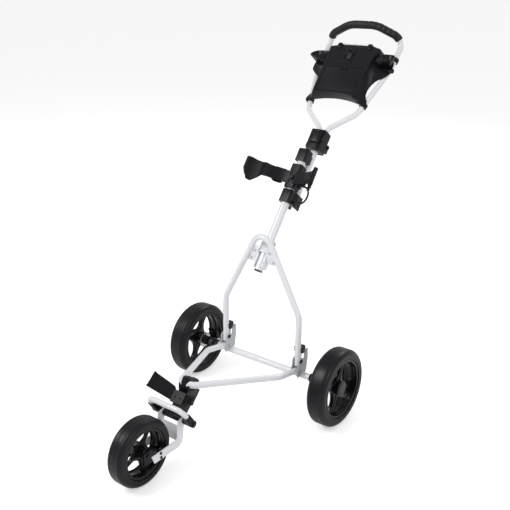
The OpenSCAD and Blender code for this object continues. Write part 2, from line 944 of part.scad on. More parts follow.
module shaft_upper() {
    from = hinge_at - hinge_tail;
    place() on_shaft() color(white) translate([0, shaft_gap, 0]) difference() {
        translate([0, 0, from]) cylinder(r = upper_r, h = clamp_split - 8 - from);
        translate([0, 0, from - 1]) cylinder(r = upper_r - tube_wall, h = 300);
        across(bolt_r + run_fit, -30, 30, 0, hinge_at);
    }
}

// ---- folding clamp ----
module clamp_yoke() {
    y0 = shaft_gap - clamp_depth;
    y1 = shaft_gap + clamp_depth;
    place() on_shaft() color(black) difference() {
        union() {
            rounded_post(
                -clamp_half, clamp_half, y0, y1, clamp_from, clamp_split - pass_gap, 6
            );
            both_sides() {
                across(knuckle_r, knuckle_half + pass_gap, clamp_half, knuckle_y, clamp_split);
                translate([knuckle_half + pass_gap, knuckle_y - 12, clamp_split - 22])
                    cube([clamp_half - knuckle_half - pass_gap, 18, 20]);
                side_plate(8, 12) {
                    translate([lever_y, lever_at - 6]) square([y0 - lever_y + 2, 12]);
                    translate([lever_y, lever_at]) circle(r = 6);
                }
            }
        }
        translate([0, shaft_gap, clamp_from - 1])
            cylinder(r = upper_r + seat_fit, h = clamp_split - clamp_from - 7 + seat_fit);
        across(
            knuckle_r + pass_gap, -knuckle_half - pass_gap, knuckle_half + pass_gap,
            knuckle_y, clamp_split
        );
        across(bolt_r + run_fit, -40, 40, knuckle_y, clamp_split);
        across(3 + run_fit, -20, 20, lever_y, lever_at);
    }
}

module clamp_pins() {
    place() on_shaft() color(steel) {
        cross_bolt(bolt_r, clamp_half + seat_fit, knuckle_y, clamp_split, 6);
        cross_bolt(3, 12 + seat_fit, lever_y, lever_at, 5);
    }
}

module clamp_lever() {
    y0 = shaft_gap - clamp_depth;
    half = 8 - pass_gap;
    place() on_shaft() color(black) difference() {
        union() {
            across(5.6, -half, half, lever_y, lever_at);
            translate([-half, y0 - 8, lever_at]) cube([2 * half, 7, 12]);
            rounded_post(-21, 21, y0 - 9, y0 - 1, lever_at + 7, lever_at + 55, 3);
        }
        across(3 + run_fit, -20, 20, lever_y, lever_at);
    }
}

module handle_root() {
    y0 = shaft_gap - clamp_depth;
    y1 = shaft_gap + clamp_depth;
    place() {
        color(black) difference() {
            on_shaft() difference() {
                union() {
                    rounded_post(
                        -clamp_half, clamp_half, y0, y1, clamp_split + pass_gap, clamp_to, 6
                    );
                    across(knuckle_r, -knuckle_half, knuckle_half, knuckle_y, clamp_split);
                    translate([-knuckle_half, knuckle_y - 10, clamp_split + 3])
                        cube([2 * knuckle_half, 14, 20]);
                }
                both_sides() across(
                    knuckle_r + pass_gap, knuckle_half, clamp_half + 1,
                    knuckle_y, clamp_split
                );
                across(bolt_r + run_fit, -40, 40, knuckle_y, clamp_split);
            }
            on_handle() both_sides() translate([root_x, 0, -34])
                cylinder(r = handle_r + seat_fit, h = 60);
        }
    }
}

// ---- handle ----
handle_side = [
    [root_x, 0, -33], [root_x, 0, 16], [flare_x, 0, flare_t], [handle_half, 0, widen_t],
    top_bend, grip_side, to_grip([arch_top, grip_rise])
];
handle_path = mirrored(handle_side);
handle_bends = round_list([0, 28, 60, 100, 30, 38, 110]);

module handle_loop() {
    place() on_handle() color(white) pipe(handle_path, handle_bends, handle_r, 1.4);
}

module handle_grip() {
    p = mirrored([grip_start, grip_side, to_grip([arch_top, grip_rise])]);
    place() on_handle() color(black) difference() {
        bar(p, [0, 38, 110, 110, 38, 0], grip_r);
        bar(p, [0, 38, 110, 110, 38, 0], handle_r + seat_fit, 1);
    }
}

// ---- console ----
function tube_x(t) = flare_x + (handle_half - flare_x) * (t - flare_t) / (widen_t - flare_t);

module on_cup() {
    translate([cup_x, cup_y, cup_t]) rotate([handle_lean + 15, 0, 0]) children();
}

module console_shell(inset = 0) {
    low = inset;
    hull() {
        for (c = [[78, 116 + low], [94, 332 - low]])
            translate([inset - c.x, console_front + inset, c.y])
                cube([2 * (c.x - inset), 2, 2]);
        for (c = [[handle_half - 28, 114 + low], [handle_half - 4, 332 - low]])
            translate([inset - c.x, console_back - 2 + min(inset, 1) * 2.5, c.y])
                cube([2 * (c.x - inset), 2, 2]);
    }
}

// the round bites out of the tray's two sides and its lower edge
module console_bites(wall = 0) {
    both_sides() translate([handle_half + 20, 0, 180]) rotate([90, 0, 0])
        cylinder(r = 58 + wall, h = 90);
    translate([0, 0, -178]) rotate([90, 0, 0]) cylinder(r = 309 + wall, h = 90, $fn = 128);
}

module clip_rings() {
    both_sides() for (t = [console_bottom + 9, 312])
        clip_axis(t) cylinder(r = handle_r + 4, h = 16, center = true);
}

module clip_axis(t) {
    top = t > widen_t;
    translate([top ? handle_half : tube_x(t), 0, t])
        rotate([0, top ? 0 : atan((handle_half - flare_x) / (widen_t - flare_t)), 0])
            children();
}

// a cup and the wing that joins it to the side of the tray
module cup_wing() {
    hull() {
        on_cup() translate([0, 0, -cup_len])
            cylinder(r1 = cup_tip, r2 = cup_r + cup_wall, h = cup_len, $fn = 32);
        translate([handle_half - 44, console_front + 12, cup_t - 26]) cube([2, 24, 52]);
    }
}

module cup_hollow() {
    on_cup() translate([0, 0, 3 - cup_len])
        cylinder(r1 = cup_tip - cup_wall, r2 = cup_r, h = cup_len - 3);
    on_cup() translate([0, 0, -0.01]) cylinder(r = cup_r, h = 30);
}

// the space inside the moulded tray, round the bin behind the lid
module console_hollow() {
    inside = lid_half - 7;
    difference() {
        console_shell(console_wall);
        console_bites(console_wall);
        clip_rings();
        both_sides() cup_wing();
        translate([-lid_half - 8, console_front, lid_bottom - 4])
            cube([2 * lid_half + 16, 14, 20]);
        translate([-inside - 3, console_front, lid_bottom + 4])
            cube([2 * inside + 6, console_depth - 2.5, lid_top - lid_bottom - 7]);
        translate([-lid_half - 3, console_front, lid_bottom])
            cube([2 * lid_half + 6, lid_t + 4, lid_top - lid_bottom + 3]);
    }
}

module console_tray() {
    inside = lid_half - 7;
    wire_t = console_top + 4;
    place() on_handle() color(black) difference() {
        union() {
            difference() {
                console_shell();
                console_hollow();
            }
            clip_rings();
            both_sides() {
                cup_wing();
                translate([ear_x, console_front + 6, console_top - 8])
                    cylinder(r = 5, h = 18);
                translate([8, console_front - 5, clip_t - 4]) cube([3, 6, 12]);
            }
        }
        console_bites();
        both_sides() {
            cup_hollow();
            across(1 + seat_fit, ear_x - 6, ear_x + 6, console_front + 6, wire_t);
            for (t = [console_bottom + 9, 312])
                clip_axis(t) cylinder(r = handle_r + seat_fit, h = 60, center = true);
        }
        translate([-lid_half, console_front - 1, lid_bottom])
            cube([2 * lid_half, lid_t + 1.4, lid_top - lid_bottom]);
        translate([-lid_half, console_front - 1, lid_bottom])
            cube([2 * lid_half, 9, 9]);
        translate([-inside, console_front - 1, lid_bottom + 7])
            cube([2 * inside, console_depth - 4, lid_top - lid_bottom - 13]);
        across(
            1.5 + run_fit, -lid_half - 5, lid_half + 5, console_front + 1.6, lid_bottom + 3
        );
        across(1.5 + run_fit, -12, 12, console_front - 3, clip_t + 3);
    }
}

// the flat cover that closes the back of the tray
module console_cover() {
    place() on_handle() color(black) difference() {
        intersection() {
            console_shell(console_wall + seat_fit);
            translate([-200, console_back - 2, 0]) cube([400, 2, 400]);
        }
        console_bites(console_wall + seat_fit);
        both_sides() for (t = [console_bottom + 9, 312])
            clip_axis(t) cylinder(r = handle_r + 4 + seat_fit, h = 16.2, center = true);
        both_sides() translate([handle_half - 46, console_back - 6, cup_t - 38]) cube([60, 20, 66]);
        both_sides() translate([handle_half - 46, console_back - 6, 100]) cube([60, 20, 38]);
    }
}

module console_lid() {
    half = lid_half - pass_gap;
    place() on_handle() color(black) {
        translate([-half, console_front + 0.2, lid_bottom + 1.5])
            cube([2 * half, lid_t, lid_top - lid_bottom - 1.5 - pass_gap]);
        across(1.5, -lid_half - 4, lid_half + 4, console_front + 1.6, lid_bottom + 3);
        translate([-14, console_front - 2, lid_top - 8]) cube([28, 3, 4]);
    }
}

module card_clip() {
    half = 8 - pass_gap;
    place() on_handle() color(grey) {
        across(2.6, -half, half, console_front - 3, clip_t + 3);
        across(1.5, -10.8, 10.8, console_front - 3, clip_t + 3);
        translate([-half, console_front - 4.5, clip_t - 18]) cube([2 * half, 2.5, 22]);
        translate([-half, console_front - 2.4, clip_t - 18]) cube([2 * half, 2, 3]);
        translate([-half, console_front - 8, clip_t + 2]) cube([2 * half, 5, 2.5]);
    }
}

module card_wire() {
    place() on_handle() color(steel)
        across(1, -ear_x - 5, ear_x + 5, console_front + 6, console_top + 4);
}

axle_tube();
axle_stubs();
lower_frame();
left_bracket();
right_bracket();
pivot_bolts();
bracket_rivets();
latch_pins();
left_latch();
right_latch();
left_release();
right_release();
brake_post();
brake_lever();
nose_casting();
nose_pin();
lower_cradle();
loop_lugs();
base_loop();
a_frame();
arch_bracket();
shaft_bolts();
arch_screws();
shaft_lower();
shaft_cap();
pivot_collar();
collar_pin();
upper_cradle();
cradle_screws();
upper_strap();
shaft_head();
shaft_upper();
clamp_yoke();
clamp_pins();
clamp_lever();
handle_root();
handle_loop();
handle_grip();
console_tray();
console_cover();
console_lid();
card_clip();
card_wire();
front_fork();
axle_blocks();
front_axle();
track_screws();
front_tyre();
front_rim();
front_bushes();
left_tyre();
left_rim();
left_bushes();
left_hub_cap();
brake_ring();
right_tyre();
right_rim();
right_bushes();
right_hub_cap();
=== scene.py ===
# %% [markdown]
# # A golf push cart
# This lesson dresses a packed cart: the frame holds every tube, hinge and wheel at its real
# place, and each cell below adds one finish or one detailed piece. Lengths are in metres.

# %% Load the cart
import bpy
import bmesh
import json
from math import sin, cos, tan, pi, radians, degrees, sqrt, atan2
from mathutils import Vector, Matrix


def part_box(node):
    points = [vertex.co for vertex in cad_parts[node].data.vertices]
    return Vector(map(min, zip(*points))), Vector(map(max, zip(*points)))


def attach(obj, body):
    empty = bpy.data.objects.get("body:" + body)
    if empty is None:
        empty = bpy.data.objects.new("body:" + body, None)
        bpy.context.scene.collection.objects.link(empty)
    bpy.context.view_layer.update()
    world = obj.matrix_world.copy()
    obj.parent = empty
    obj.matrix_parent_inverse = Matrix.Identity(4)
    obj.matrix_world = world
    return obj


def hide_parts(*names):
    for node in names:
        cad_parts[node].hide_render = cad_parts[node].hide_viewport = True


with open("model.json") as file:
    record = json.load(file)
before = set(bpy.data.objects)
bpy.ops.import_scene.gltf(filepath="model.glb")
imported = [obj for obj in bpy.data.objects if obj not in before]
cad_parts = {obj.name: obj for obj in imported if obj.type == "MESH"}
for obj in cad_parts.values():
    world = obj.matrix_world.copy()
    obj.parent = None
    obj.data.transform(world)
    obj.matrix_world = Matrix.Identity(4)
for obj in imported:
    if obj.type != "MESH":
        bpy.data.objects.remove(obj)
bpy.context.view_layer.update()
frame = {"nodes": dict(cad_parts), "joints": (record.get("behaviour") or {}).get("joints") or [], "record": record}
nodes = frame["nodes"]
scene = bpy.context.scene
joints = {j["name"]: j for j in frame["joints"]}

def new_object(name, data):
    made = bpy.data.objects.new(name, data)
    scene.collection.objects.link(made)
    return made

def set_inputs(node, values):
    for label, value in values.items():
        node.inputs[label].default_value = value

# %% [markdown]
# ## Camera
# The cart is seen from the front corner on its right wheel's side, a little above the grip.
# A lens of about 53 mm keeps the front wheel only a little larger than the handle.

# %% Camera
AZIMUTH, ELEVATION, ROLL = radians(37.83), radians(21.55), radians(-1.13)
LENS, SENSOR = 53.13, 36
EYE = Vector((1.3428, -1.7353, 1.3785))

def camera_turn(azimuth, elevation, roll):
    back = Vector((sin(azimuth) * cos(elevation), -cos(azimuth) * cos(elevation), sin(elevation)))
    right = Vector((cos(azimuth), sin(azimuth), 0))
    up = back.cross(right)
    across = cos(roll) * right + sin(roll) * up
    upward = cos(roll) * up - sin(roll) * right
    return Matrix((across, upward, back)).transposed().to_4x4()

lens = bpy.data.cameras.new("camera")
lens.lens = LENS
lens.sensor_width = SENSOR
camera = new_object("camera", lens)
camera.matrix_world = Matrix.Translation(EYE) @ camera_turn(AZIMUTH, ELEVATION, ROLL)
scene.camera = camera
print("camera at", [round(v, 3) for v in EYE])

# %% [markdown]
# ## Floor and light
# A wide flat floor and three large soft lamps. The floor and the world behind it are brighter
# for camera rays than for others, so they look white without throwing that light on the cart.

# %% Floor and light
FLOOR_HALF = 80
FLOOR_GLOW, WORLD_LIGHT = 0.42, 0.55

def plain_floor():
    mesh = bpy.data.meshes.new("floor")
    corners = ((-1, -1), (1, -1), (1, 1), (-1, 1))
    mesh.from_pydata([(x * FLOOR_HALF, y * FLOOR_HALF, 0) for x, y in corners], [], [(0, 1, 2, 3)])
    floor = new_object("floor", mesh)
    mat = bpy.data.materials.new("floor_paper")
    mat.use_nodes = True
    shader = mat.node_tree.nodes["Principled BSDF"]
    set_inputs(shader, {"Base Color": (0.92, 0.92, 0.92, 1), "Roughness": 0.9,
                        "Specular IOR Level": 0.0, "Emission Color": (1, 1, 1, 1)})
    path = mat.node_tree.nodes.new("ShaderNodeLightPath")
    seen = mat.node_tree.nodes.new("ShaderNodeMath")
    seen.operation = "MULTIPLY"
    seen.inputs[1].default_value = FLOOR_GLOW
    mat.node_tree.links.new(path.outputs["Is Camera Ray"], seen.inputs[0])
    mat.node_tree.links.new(seen.outputs[0], shader.inputs["Emission Strength"])
    mesh.materials.append(mat)

def white_world(strength):
    world = bpy.data.worlds.new("studio")
    world.use_nodes = True
    tree = world.node_tree
    back = tree.nodes["Background"]
    path = tree.nodes.new("ShaderNodeLightPath")
    seen = tree.nodes.new("ShaderNodeMath")
    seen.operation = "MAXIMUM"
    tree.links.new(path.outputs["Is Camera Ray"], seen.inputs[0])
    tree.links.new(path.outputs["Is Transmission Ray"], seen.inputs[1])
    level = tree.nodes.new("ShaderNodeMapRange")
    set_inputs(level, {"To Min": strength, "To Max": 1.0})
    tree.links.new(seen.outputs[0], level.inputs["Value"])
    back.inputs["Color"].default_value = (1, 1, 1, 1)
    tree.links.new(level.outputs["Result"], back.inputs["Strength"])
    scene.world = world

def soft_lamp(name, place, target, size, power):
    """A rectangle of light at a place, aimed at a target. Its power is in watts."""
    data = bpy.data.lights.new(name, "AREA")
    data.shape = "RECTANGLE"
    data.size, data.size_y = size
    data.energy = power
    lamp = new_object(name, data)
    lamp.location = place
    aim = Vector(target) - Vector(place)
    lamp.rotation_euler = aim.to_track_quat("-Z", "Y").to_euler()

plain_floor()
white_world(WORLD_LIGHT)
soft_lamp("key", (-1.6, -2.4, 3.2), (0, 0, 0.5), (1.6, 1.6), 66)
soft_lamp("fill", (3.0, -0.8, 2.0), (0, 0, 0.5), (1.6, 2.0), 22)
soft_lamp("rim", (0.4, 3.0, 2.6), (0, 0, 0.6), (2.5, 1.5), 34)
scene.view_settings.view_transform = "Standard"
print("lamps:", len(bpy.data.lights))

# %% [markdown]
# ## Finishes
# Every finish is a Principled shader fed by noise in object coordinates: a slow noise shifts
# the colour and the gloss a little, and a fine one gives the bump of paint, moulding or foam.
# Pictures of each surface would do too, but noise has no seams and needs no unwrapping.

# %% A finish with two noises
NOISE_LOW, NOISE_HIGH = 0.3, 0.7

def noise_node(tree, place, scale, detail):
    noise = tree.nodes.new("ShaderNodeTexNoise")
    set_inputs(noise, {"Scale": scale, "Detail": detail})
    tree.links.new(place.outputs["Object"], noise.inputs["Vector"])
    return noise

def finish(name, colour, rough, metal=0.0, shift=0.06, spread=0.08, coarse=9, fine=900,
           bump=0.05, depth=0.0002, coat=0.0, shine=0.5):
    mat = bpy.data.materials.new(name)
    mat.use_nodes = True
    tree = mat.node_tree
    shader = tree.nodes["Principled BSDF"]
    place = tree.nodes.new("ShaderNodeTexCoord")
    slow = noise_node(tree, place, coarse, 4)
    quick = noise_node(tree, place, fine, 3)
    tint = tree.nodes.new("ShaderNodeValToRGB")
    low = [c * (1 - shift) for c in colour]
    high = [min(1, c * (1 + shift)) for c in colour]
    tint.color_ramp.elements[0].color = (*low, 1)
    tint.color_ramp.elements[1].color = (*high, 1)
    tint.color_ramp.elements[0].position = NOISE_LOW
    tint.color_ramp.elements[1].position = NOISE_HIGH
    tree.links.new(slow.outputs["Fac"], tint.inputs["Fac"])
    tree.links.new(tint.outputs["Color"], shader.inputs["Base Color"])
    gloss = tree.nodes.new("ShaderNodeMapRange")
    set_inputs(gloss, {"From Min": NOISE_LOW, "From Max": NOISE_HIGH,
                       "To Min": max(0.02, rough - spread), "To Max": min(1, rough + spread)})
    tree.links.new(slow.outputs["Fac"], gloss.inputs["Value"])
    tree.links.new(gloss.outputs["Result"], shader.inputs["Roughness"])
    relief = tree.nodes.new("ShaderNodeBump")
    set_inputs(relief, {"Strength": bump, "Distance": depth})
    tree.links.new(quick.outputs["Fac"], relief.inputs["Height"])
    tree.links.new(relief.outputs["Normal"], shader.inputs["Normal"])
    set_inputs(shader, {"Metallic": metal, "Coat Weight": coat, "Coat Roughness": 0.08,
                        "Specular IOR Level": shine})
    return mat

white_paint = finish("white_paint", (0.80, 0.81, 0.84), 0.22, shift=0.015, spread=0.05,
                     fine=500, bump=0.06, coat=0.5)
grey_paint = finish("grey_paint", (0.50, 0.51, 0.54), 0.35, shift=0.03, fine=700)
satin_black = finish("satin_black", (0.004, 0.0044, 0.0065), 0.34, shift=0.2, fine=2200, bump=0.2,
                     shine=0.25)
gloss_black = finish("gloss_black", (0.004, 0.004, 0.0055), 0.2, shift=0.2, fine=600, shine=0.28)
soft_grey = finish("soft_grey", (0.016, 0.016, 0.019), 0.4, shift=0.1)
tyre_foam = finish("tyre_foam", (0.005, 0.0053, 0.0075), 0.36, shift=0.2, fine=1500, bump=0.3,
                   shine=0.28)
grip_foam = finish("grip_foam", (0.006, 0.006, 0.008), 0.5, shift=0.2, fine=1800, bump=0.5,
                   shine=0.4)
elastic = finish("elastic", (0.006, 0.006, 0.007), 0.55, shift=0.3, fine=1600, bump=0.5,
                 shine=0.4)
bright_steel = finish("bright_steel", (0.62, 0.62, 0.64), 0.28, metal=1.0, fine=1200, bump=0.08)
black_screw = finish("black_screw", (0.02, 0.02, 0.023), 0.35, metal=0.6)
FINISHES = {
    "white_tube": white_paint, "grey_sheet": grey_paint, "black_plastic": satin_black,
    "gloss_black": gloss_black, "grey_plastic": soft_grey, "tyre_foam": tyre_foam,
    "grip_foam": grip_foam, "strap_elastic": elastic, "bright_steel": bright_steel,
    "black_screw": black_screw,
}
print("finishes:", len(FINISHES))

# %% [markdown]
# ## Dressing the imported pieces
# The record names a finish for every solid. They could be dressed one by one as their finer
# shapes are made, but all at once leaves none bare, and a straight tube then needs no more.

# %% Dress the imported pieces
def dress(node, mat):
    mesh = nodes[node].data
    mesh.materials.clear()
    mesh.materials.append(mat)
    for face in mesh.polygons:
        face.material_index = 0

slot_of = {part["node"]: part["material_slot"] for part in frame["record"]["subparts"]}
for node, slot in slot_of.items():
    dress(node, FINISHES[slot])
print("dressed:", len(slot_of))

# %% [markdown]
# ## Where things are
# The joints of the frame give the pivots. Two parts of the cart lean back, the shaft and the
# handle, so each gets a local frame whose Z axis runs up along it. A piece is modelled upright in
# such a frame and its mesh is then turned into place, which leaves the object at the origin.
# Turning the object instead would be shorter, but the export bakes each piece at the origin.

# %% Local frames
MM = 0.001
SHAFT_LEAN, HANDLE_LEAN = 39, 46
SHAFT_GAP, FOLD_UP = 46 * MM, 259 * MM
CONSOLE_FRONT, CONSOLE_BACK = -49 * MM, -11 * MM
LID_FOOT = 136 * MM
HINGE_BACK, HINGE_UP = 1.6 * MM, 3 * MM

def pivot(name):
    return Vector(joints[name]["pos_m"])

def leaning(lean, known, local):
    turn = Matrix.Rotation(-radians(lean), 4, "X")
    return Matrix.Translation(known - turn @ Vector(local)) @ turn

LID_HINGE = (0, CONSOLE_FRONT + HINGE_BACK, LID_FOOT + HINGE_UP)
SHAFT = leaning(SHAFT_LEAN, pivot("shaft_fold"), (0, SHAFT_GAP, FOLD_UP))
HANDLE = leaning(HANDLE_LEAN, pivot("lid_swing"), LID_HINGE)
print("shaft foot", [round(v, 3) for v in SHAFT.translation])

# %% [markdown]
# ## Mesh helpers
# Most pieces here are a skin over a row of rings: a wheel is a ring of profiles, a grip is a row
# of circles along a path. One function makes that skin and points its faces outwards. Screw and
# Skin modifiers make such shapes too, with less say over where each ring lies.

# %% Skin over rings
WELD = 1e-6

def outward(mesh):
    work = bmesh.new()
    work.from_mesh(mesh)
    bmesh.ops.remove_doubles(work, verts=work.verts, dist=WELD)
    bmesh.ops.recalc_face_normals(work, faces=work.faces)
    work.to_mesh(mesh)
    work.free()
    return mesh

def skin(rings, loop=False):
    size, count = len(rings[0]), len(rings)
    faces = []
    for i in range(count if loop else count - 1):
        here, there = i * size, (i + 1) % count * size
        for j in range(size):
            k = (j + 1) % size
            faces.append((here + j, here + k, there + k, there + j))
    if not loop:
        faces.append(tuple(reversed(range(size))))
        faces.append(tuple(range((count - 1) * size, count * size)))
    mesh = bpy.data.meshes.new("skin")
    mesh.from_pydata([tuple(p) for ring in rings for p in ring], [], faces)
    return outward(mesh)

def angles(steps):
    return [2 * pi * i / steps for i in range(steps)]

def turned(profile, steps=96):
    """A profile of (along, radius) points, turned round the X axis."""
    rings = [[(u, r * cos(a), r * sin(a)) for u, r in profile] for a in angles(steps)]
    return skin(rings, loop=True)

def to_mesh(work, name):
    mesh = bpy.data.meshes.new(name)
    work.to_mesh(mesh)
    work.free()
    return mesh

def joined(*meshes):
    work = bmesh.new()
    for mesh in meshes:
        work.from_mesh(mesh)
    return to_mesh(work, "joined")

def mirrored(mesh):
    other = mesh.copy()
    other.transform(Matrix.Scale(-1, 4, (1, 0, 0)))
    return outward(other)

def plain_mesh(holder):
    """The mesh that an object's curve or modifiers give. The object is removed."""
    bpy.context.view_layer.update()
    graph = bpy.context.evaluated_depsgraph_get()
    made = bpy.data.meshes.new_from_object(holder.evaluated_get(graph))
    bpy.data.objects.remove(holder)
    return made

# %% A finished piece
def piece(name, mesh, body, slot, replaced=(), place=None, crease=40):
    if place is not None:
        mesh.transform(place)
    mesh.materials.clear()
    mesh.materials.append(FINISHES[slot])
    for face in mesh.polygons:
        face.use_smooth = True
        face.material_index = 0
    mesh.set_sharp_from_angle(angle=radians(crease))
    made = new_object(name, mesh)
    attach(made, body)
    if replaced:
        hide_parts(*replaced)
    print(name, len(mesh.polygons), "faces")

# %% [markdown]
# ## Softened mouldings and castings
# Real mouldings have no knife edges. A copy of each solid is merged, its flat faces are joined
# up again, and every hard edge gets a small two-step bevel that catches the light. A Bevel
# modifier alone can't do this, because the solids come as loose triangles.

# %% Softened copies
FLAT, CURVED, HARD = 0.5, 14, 38
TIP, NOSE_POINT = 4 * MM, 0.6
body_of = {n: b for b, group in frame["record"]["behaviour"]["bodies"].items() for n in group}

def bends_gently(edge):
    """True between two facets of one curved face. A flat face has no such edge."""
    return len(edge.link_faces) == 2 and FLAT < degrees(edge.calc_face_angle()) < CURVED

def hard_edges(work, limit):
    return [e for e in work.edges if len(e.link_faces) == 2
            and e.calc_face_angle() > radians(limit)]

def softened(node, width, point=None):
    """A copy with bevelled edges; point narrows whatever stands within TIP of its top."""
    work = bmesh.new()
    work.from_mesh(nodes[node].data)
    bmesh.ops.remove_doubles(work, verts=work.verts, dist=2 * WELD)
    bmesh.ops.dissolve_limit(work, angle_limit=radians(FLAT), verts=work.verts, edges=work.edges)
    bmesh.ops.bevel(work, geom=hard_edges(work, HARD), offset=width, segments=2, profile=0.6,
                    affect="EDGES", clamp_overlap=True)
    if point:
        top = max(v.co.z for v in work.verts) - TIP
        tip = [v for v in work.verts if v.co.z > top]
        mid = sum((v.co for v in tip), Vector()) / len(tip)
        for v in tip:
            v.co.x, v.co.y = mid.x + (v.co.x - mid.x) * point, mid.y + (v.co.y - mid.y) * point
    work.faces.index_update()
    plain = [f.index for f in work.faces if not any(bends_gently(e) for e in f.edges)]
    mesh = to_mesh(work, node + "_soft")
    piece(node + "_form", mesh, body_of[node], slot_of[node], [node])
    for i in plain:
        mesh.polygons[i].use_smooth = False

# The two release knobs and the clamp's lever also get finer pieces further on. Those are
# shown together with the copies made here.
SOFT_EDGES = {
    "nose_casting": 1.5, "lower_cradle": 1.2, "left_latch": 1.0, "right_latch": 1.0,
    "left_release": 0.6, "right_release": 0.6, "brake_lever": 0.8, "loop_lugs": 0.8,
    "pivot_collar": 0.8, "shaft_head": 1.2, "clamp_yoke": 1.0, "clamp_lever": 1.0,
    "handle_root": 1.0, "axle_blocks": 1.0, "shaft_cap": 0.8, "left_bracket": 0.5,
    "right_bracket": 0.5, "front_fork": 0.5, "arch_bracket": 0.5, "card_clip": 0.3,
    "left_hub_cap": 0.5, "right_hub_cap": 0.5,
}
for node, width in SOFT_EDGES.items():
    softened(node, width * MM, NOSE_POINT if node == "nose_casting" else None)

# %% [markdown]
# ## Tyres
# A foam tyre has a broad tread with a slight crown, round shoulders, and a shallow groove where
# the sidewall meets the rim. A torus could be pressed to this shape, but one drawn profile,
# turned round the axle, keeps each radius exact.

# %% Tyres
REAR_SEAT, REAR_WIDTH = 96 * MM, 63 * MM
FRONT_SEAT, FRONT_WIDTH = 76 * MM, 56 * MM
PLAY = 0.1 * MM
SHOULDER = 0.6

def tyre_profile(radius, width, seat, shoulder):
    half = width / 2
    points = [(half - 0.6 * MM, seat), (half, seat + 3 * MM), (half - 0.8 * MM, seat + 5 * MM),
              (half, seat + 7 * MM)]
    for i in range(13):
        a = pi / 2 * i / 12
        points.append((half - shoulder + shoulder * cos(a), radius - shoulder + shoulder * sin(a)))
    crown = 0.6 * MM
    for share in (0.9, 0.6, 0.3, 0.1):
        points.append(((half - shoulder) * share, radius - crown * share * share))
    points += [(0, radius)]
    return points + [(-u, r) for u, r in reversed(points[:-1])]

def add_tyre(node, spin, width, seat):
    low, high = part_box(node)
    radius = (high.z - low.z) / 2
    seat += PLAY
    mesh = turned(tyre_profile(radius, width, seat, SHOULDER * (radius - seat)), 128)
    piece(node + "_foam", mesh, body_of[node], "tyre_foam", [node], Matrix.Translation(pivot(spin)))

add_tyre("left_tyre", "left_wheel_spin", REAR_WIDTH, REAR_SEAT)
add_tyre("right_tyre", "right_wheel_spin", REAR_WIDTH, REAR_SEAT)
add_tyre("front_tyre", "front_wheel_spin", FRONT_WIDTH, FRONT_SEAT)

# %% [markdown]
# ## Rims
# Each rim is a turned barrel, a turned hub and a spoke plate. The plate is a flat curve with
# holes in it: a curve of several closed splines fills between them, and its bevel rounds every
# edge at once. Boolean cuts would need each edge softened afterwards. A rib stands on each
# spoke, and a small node tree repeats the rib round the hub.

# %% Spoke plate
def smooth_loop(points, rounds):
    for _ in range(rounds):
        last = len(points)
        points = [(0.25 * points[i - 1][0] + 0.5 * points[i][0] + 0.25 * points[(i + 1) % last][0],
                   0.25 * points[i - 1][1] + 0.5 * points[i][1] + 0.25 * points[(i + 1) % last][1])
                  for i in range(last)]
    return points

def spoke_window(reach, size, limit, turn):
    """The part of a circle of radius size, centred at reach, that lies within radius limit."""
    points = []
    for a in angles(72):
        x, y = reach + size * cos(a), size * sin(a)
        r = sqrt(x * x + y * y)
        if r > limit:
            x, y = x * limit / r, y * limit / r
        points.append((x, y))
    points = smooth_loop(points, 3)
    return [(x * cos(turn) - y * sin(turn), x * sin(turn) + y * cos(turn)) for x, y in points]

def plate_mesh(loops, thick, soft):
    curve = bpy.data.curves.new("plate", "CURVE")
    curve.dimensions, curve.fill_mode = "2D", "BOTH"
    curve.extrude, curve.bevel_depth, curve.bevel_resolution = thick / 2 - soft, soft, 2
    curve.offset = -soft
    for loop in loops:
        spline = curve.splines.new("POLY")
        spline.points.add(len(loop) - 1)
        for spot, (x, y) in zip(spline.points, loop):
            spot.co = (x, y, 0, 1)
        spline.use_cyclic_u = True
    made = plain_mesh(new_object("plate", curve))
    made.transform(Matrix(((0, 0, 1, 0), (1, 0, 0, 0), (0, 1, 0, 0), (0, 0, 0, 1))))
    return outward(made)

# %% A tree that repeats a part round the axle
def new_tree(name, inputs):
    tree = bpy.data.node_groups.new(name, "GeometryNodeTree")
    for label, kind in inputs:
        tree.interface.new_socket(label, in_out="INPUT", socket_type="NodeSocket" + kind)
    tree.interface.new_socket("Geometry", in_out="OUTPUT", socket_type="NodeSocketGeometry")
    return tree, tree.nodes.new("NodeGroupInput"), tree.nodes.new("NodeGroupOutput")

def end_tree(tree, start, end, copies):
    """What ends each tree: the copies made real, with one finish."""
    real = tree.nodes.new("GeometryNodeRealizeInstances")
    paint = tree.nodes.new("GeometryNodeSetMaterial")
    tree.links.new(copies.outputs[0], real.inputs[0])
    tree.links.new(real.outputs[0], paint.inputs["Geometry"])
    tree.links.new(start.outputs["Finish"], paint.inputs["Material"])
    tree.links.new(paint.outputs[0], end.inputs[0])
    return tree

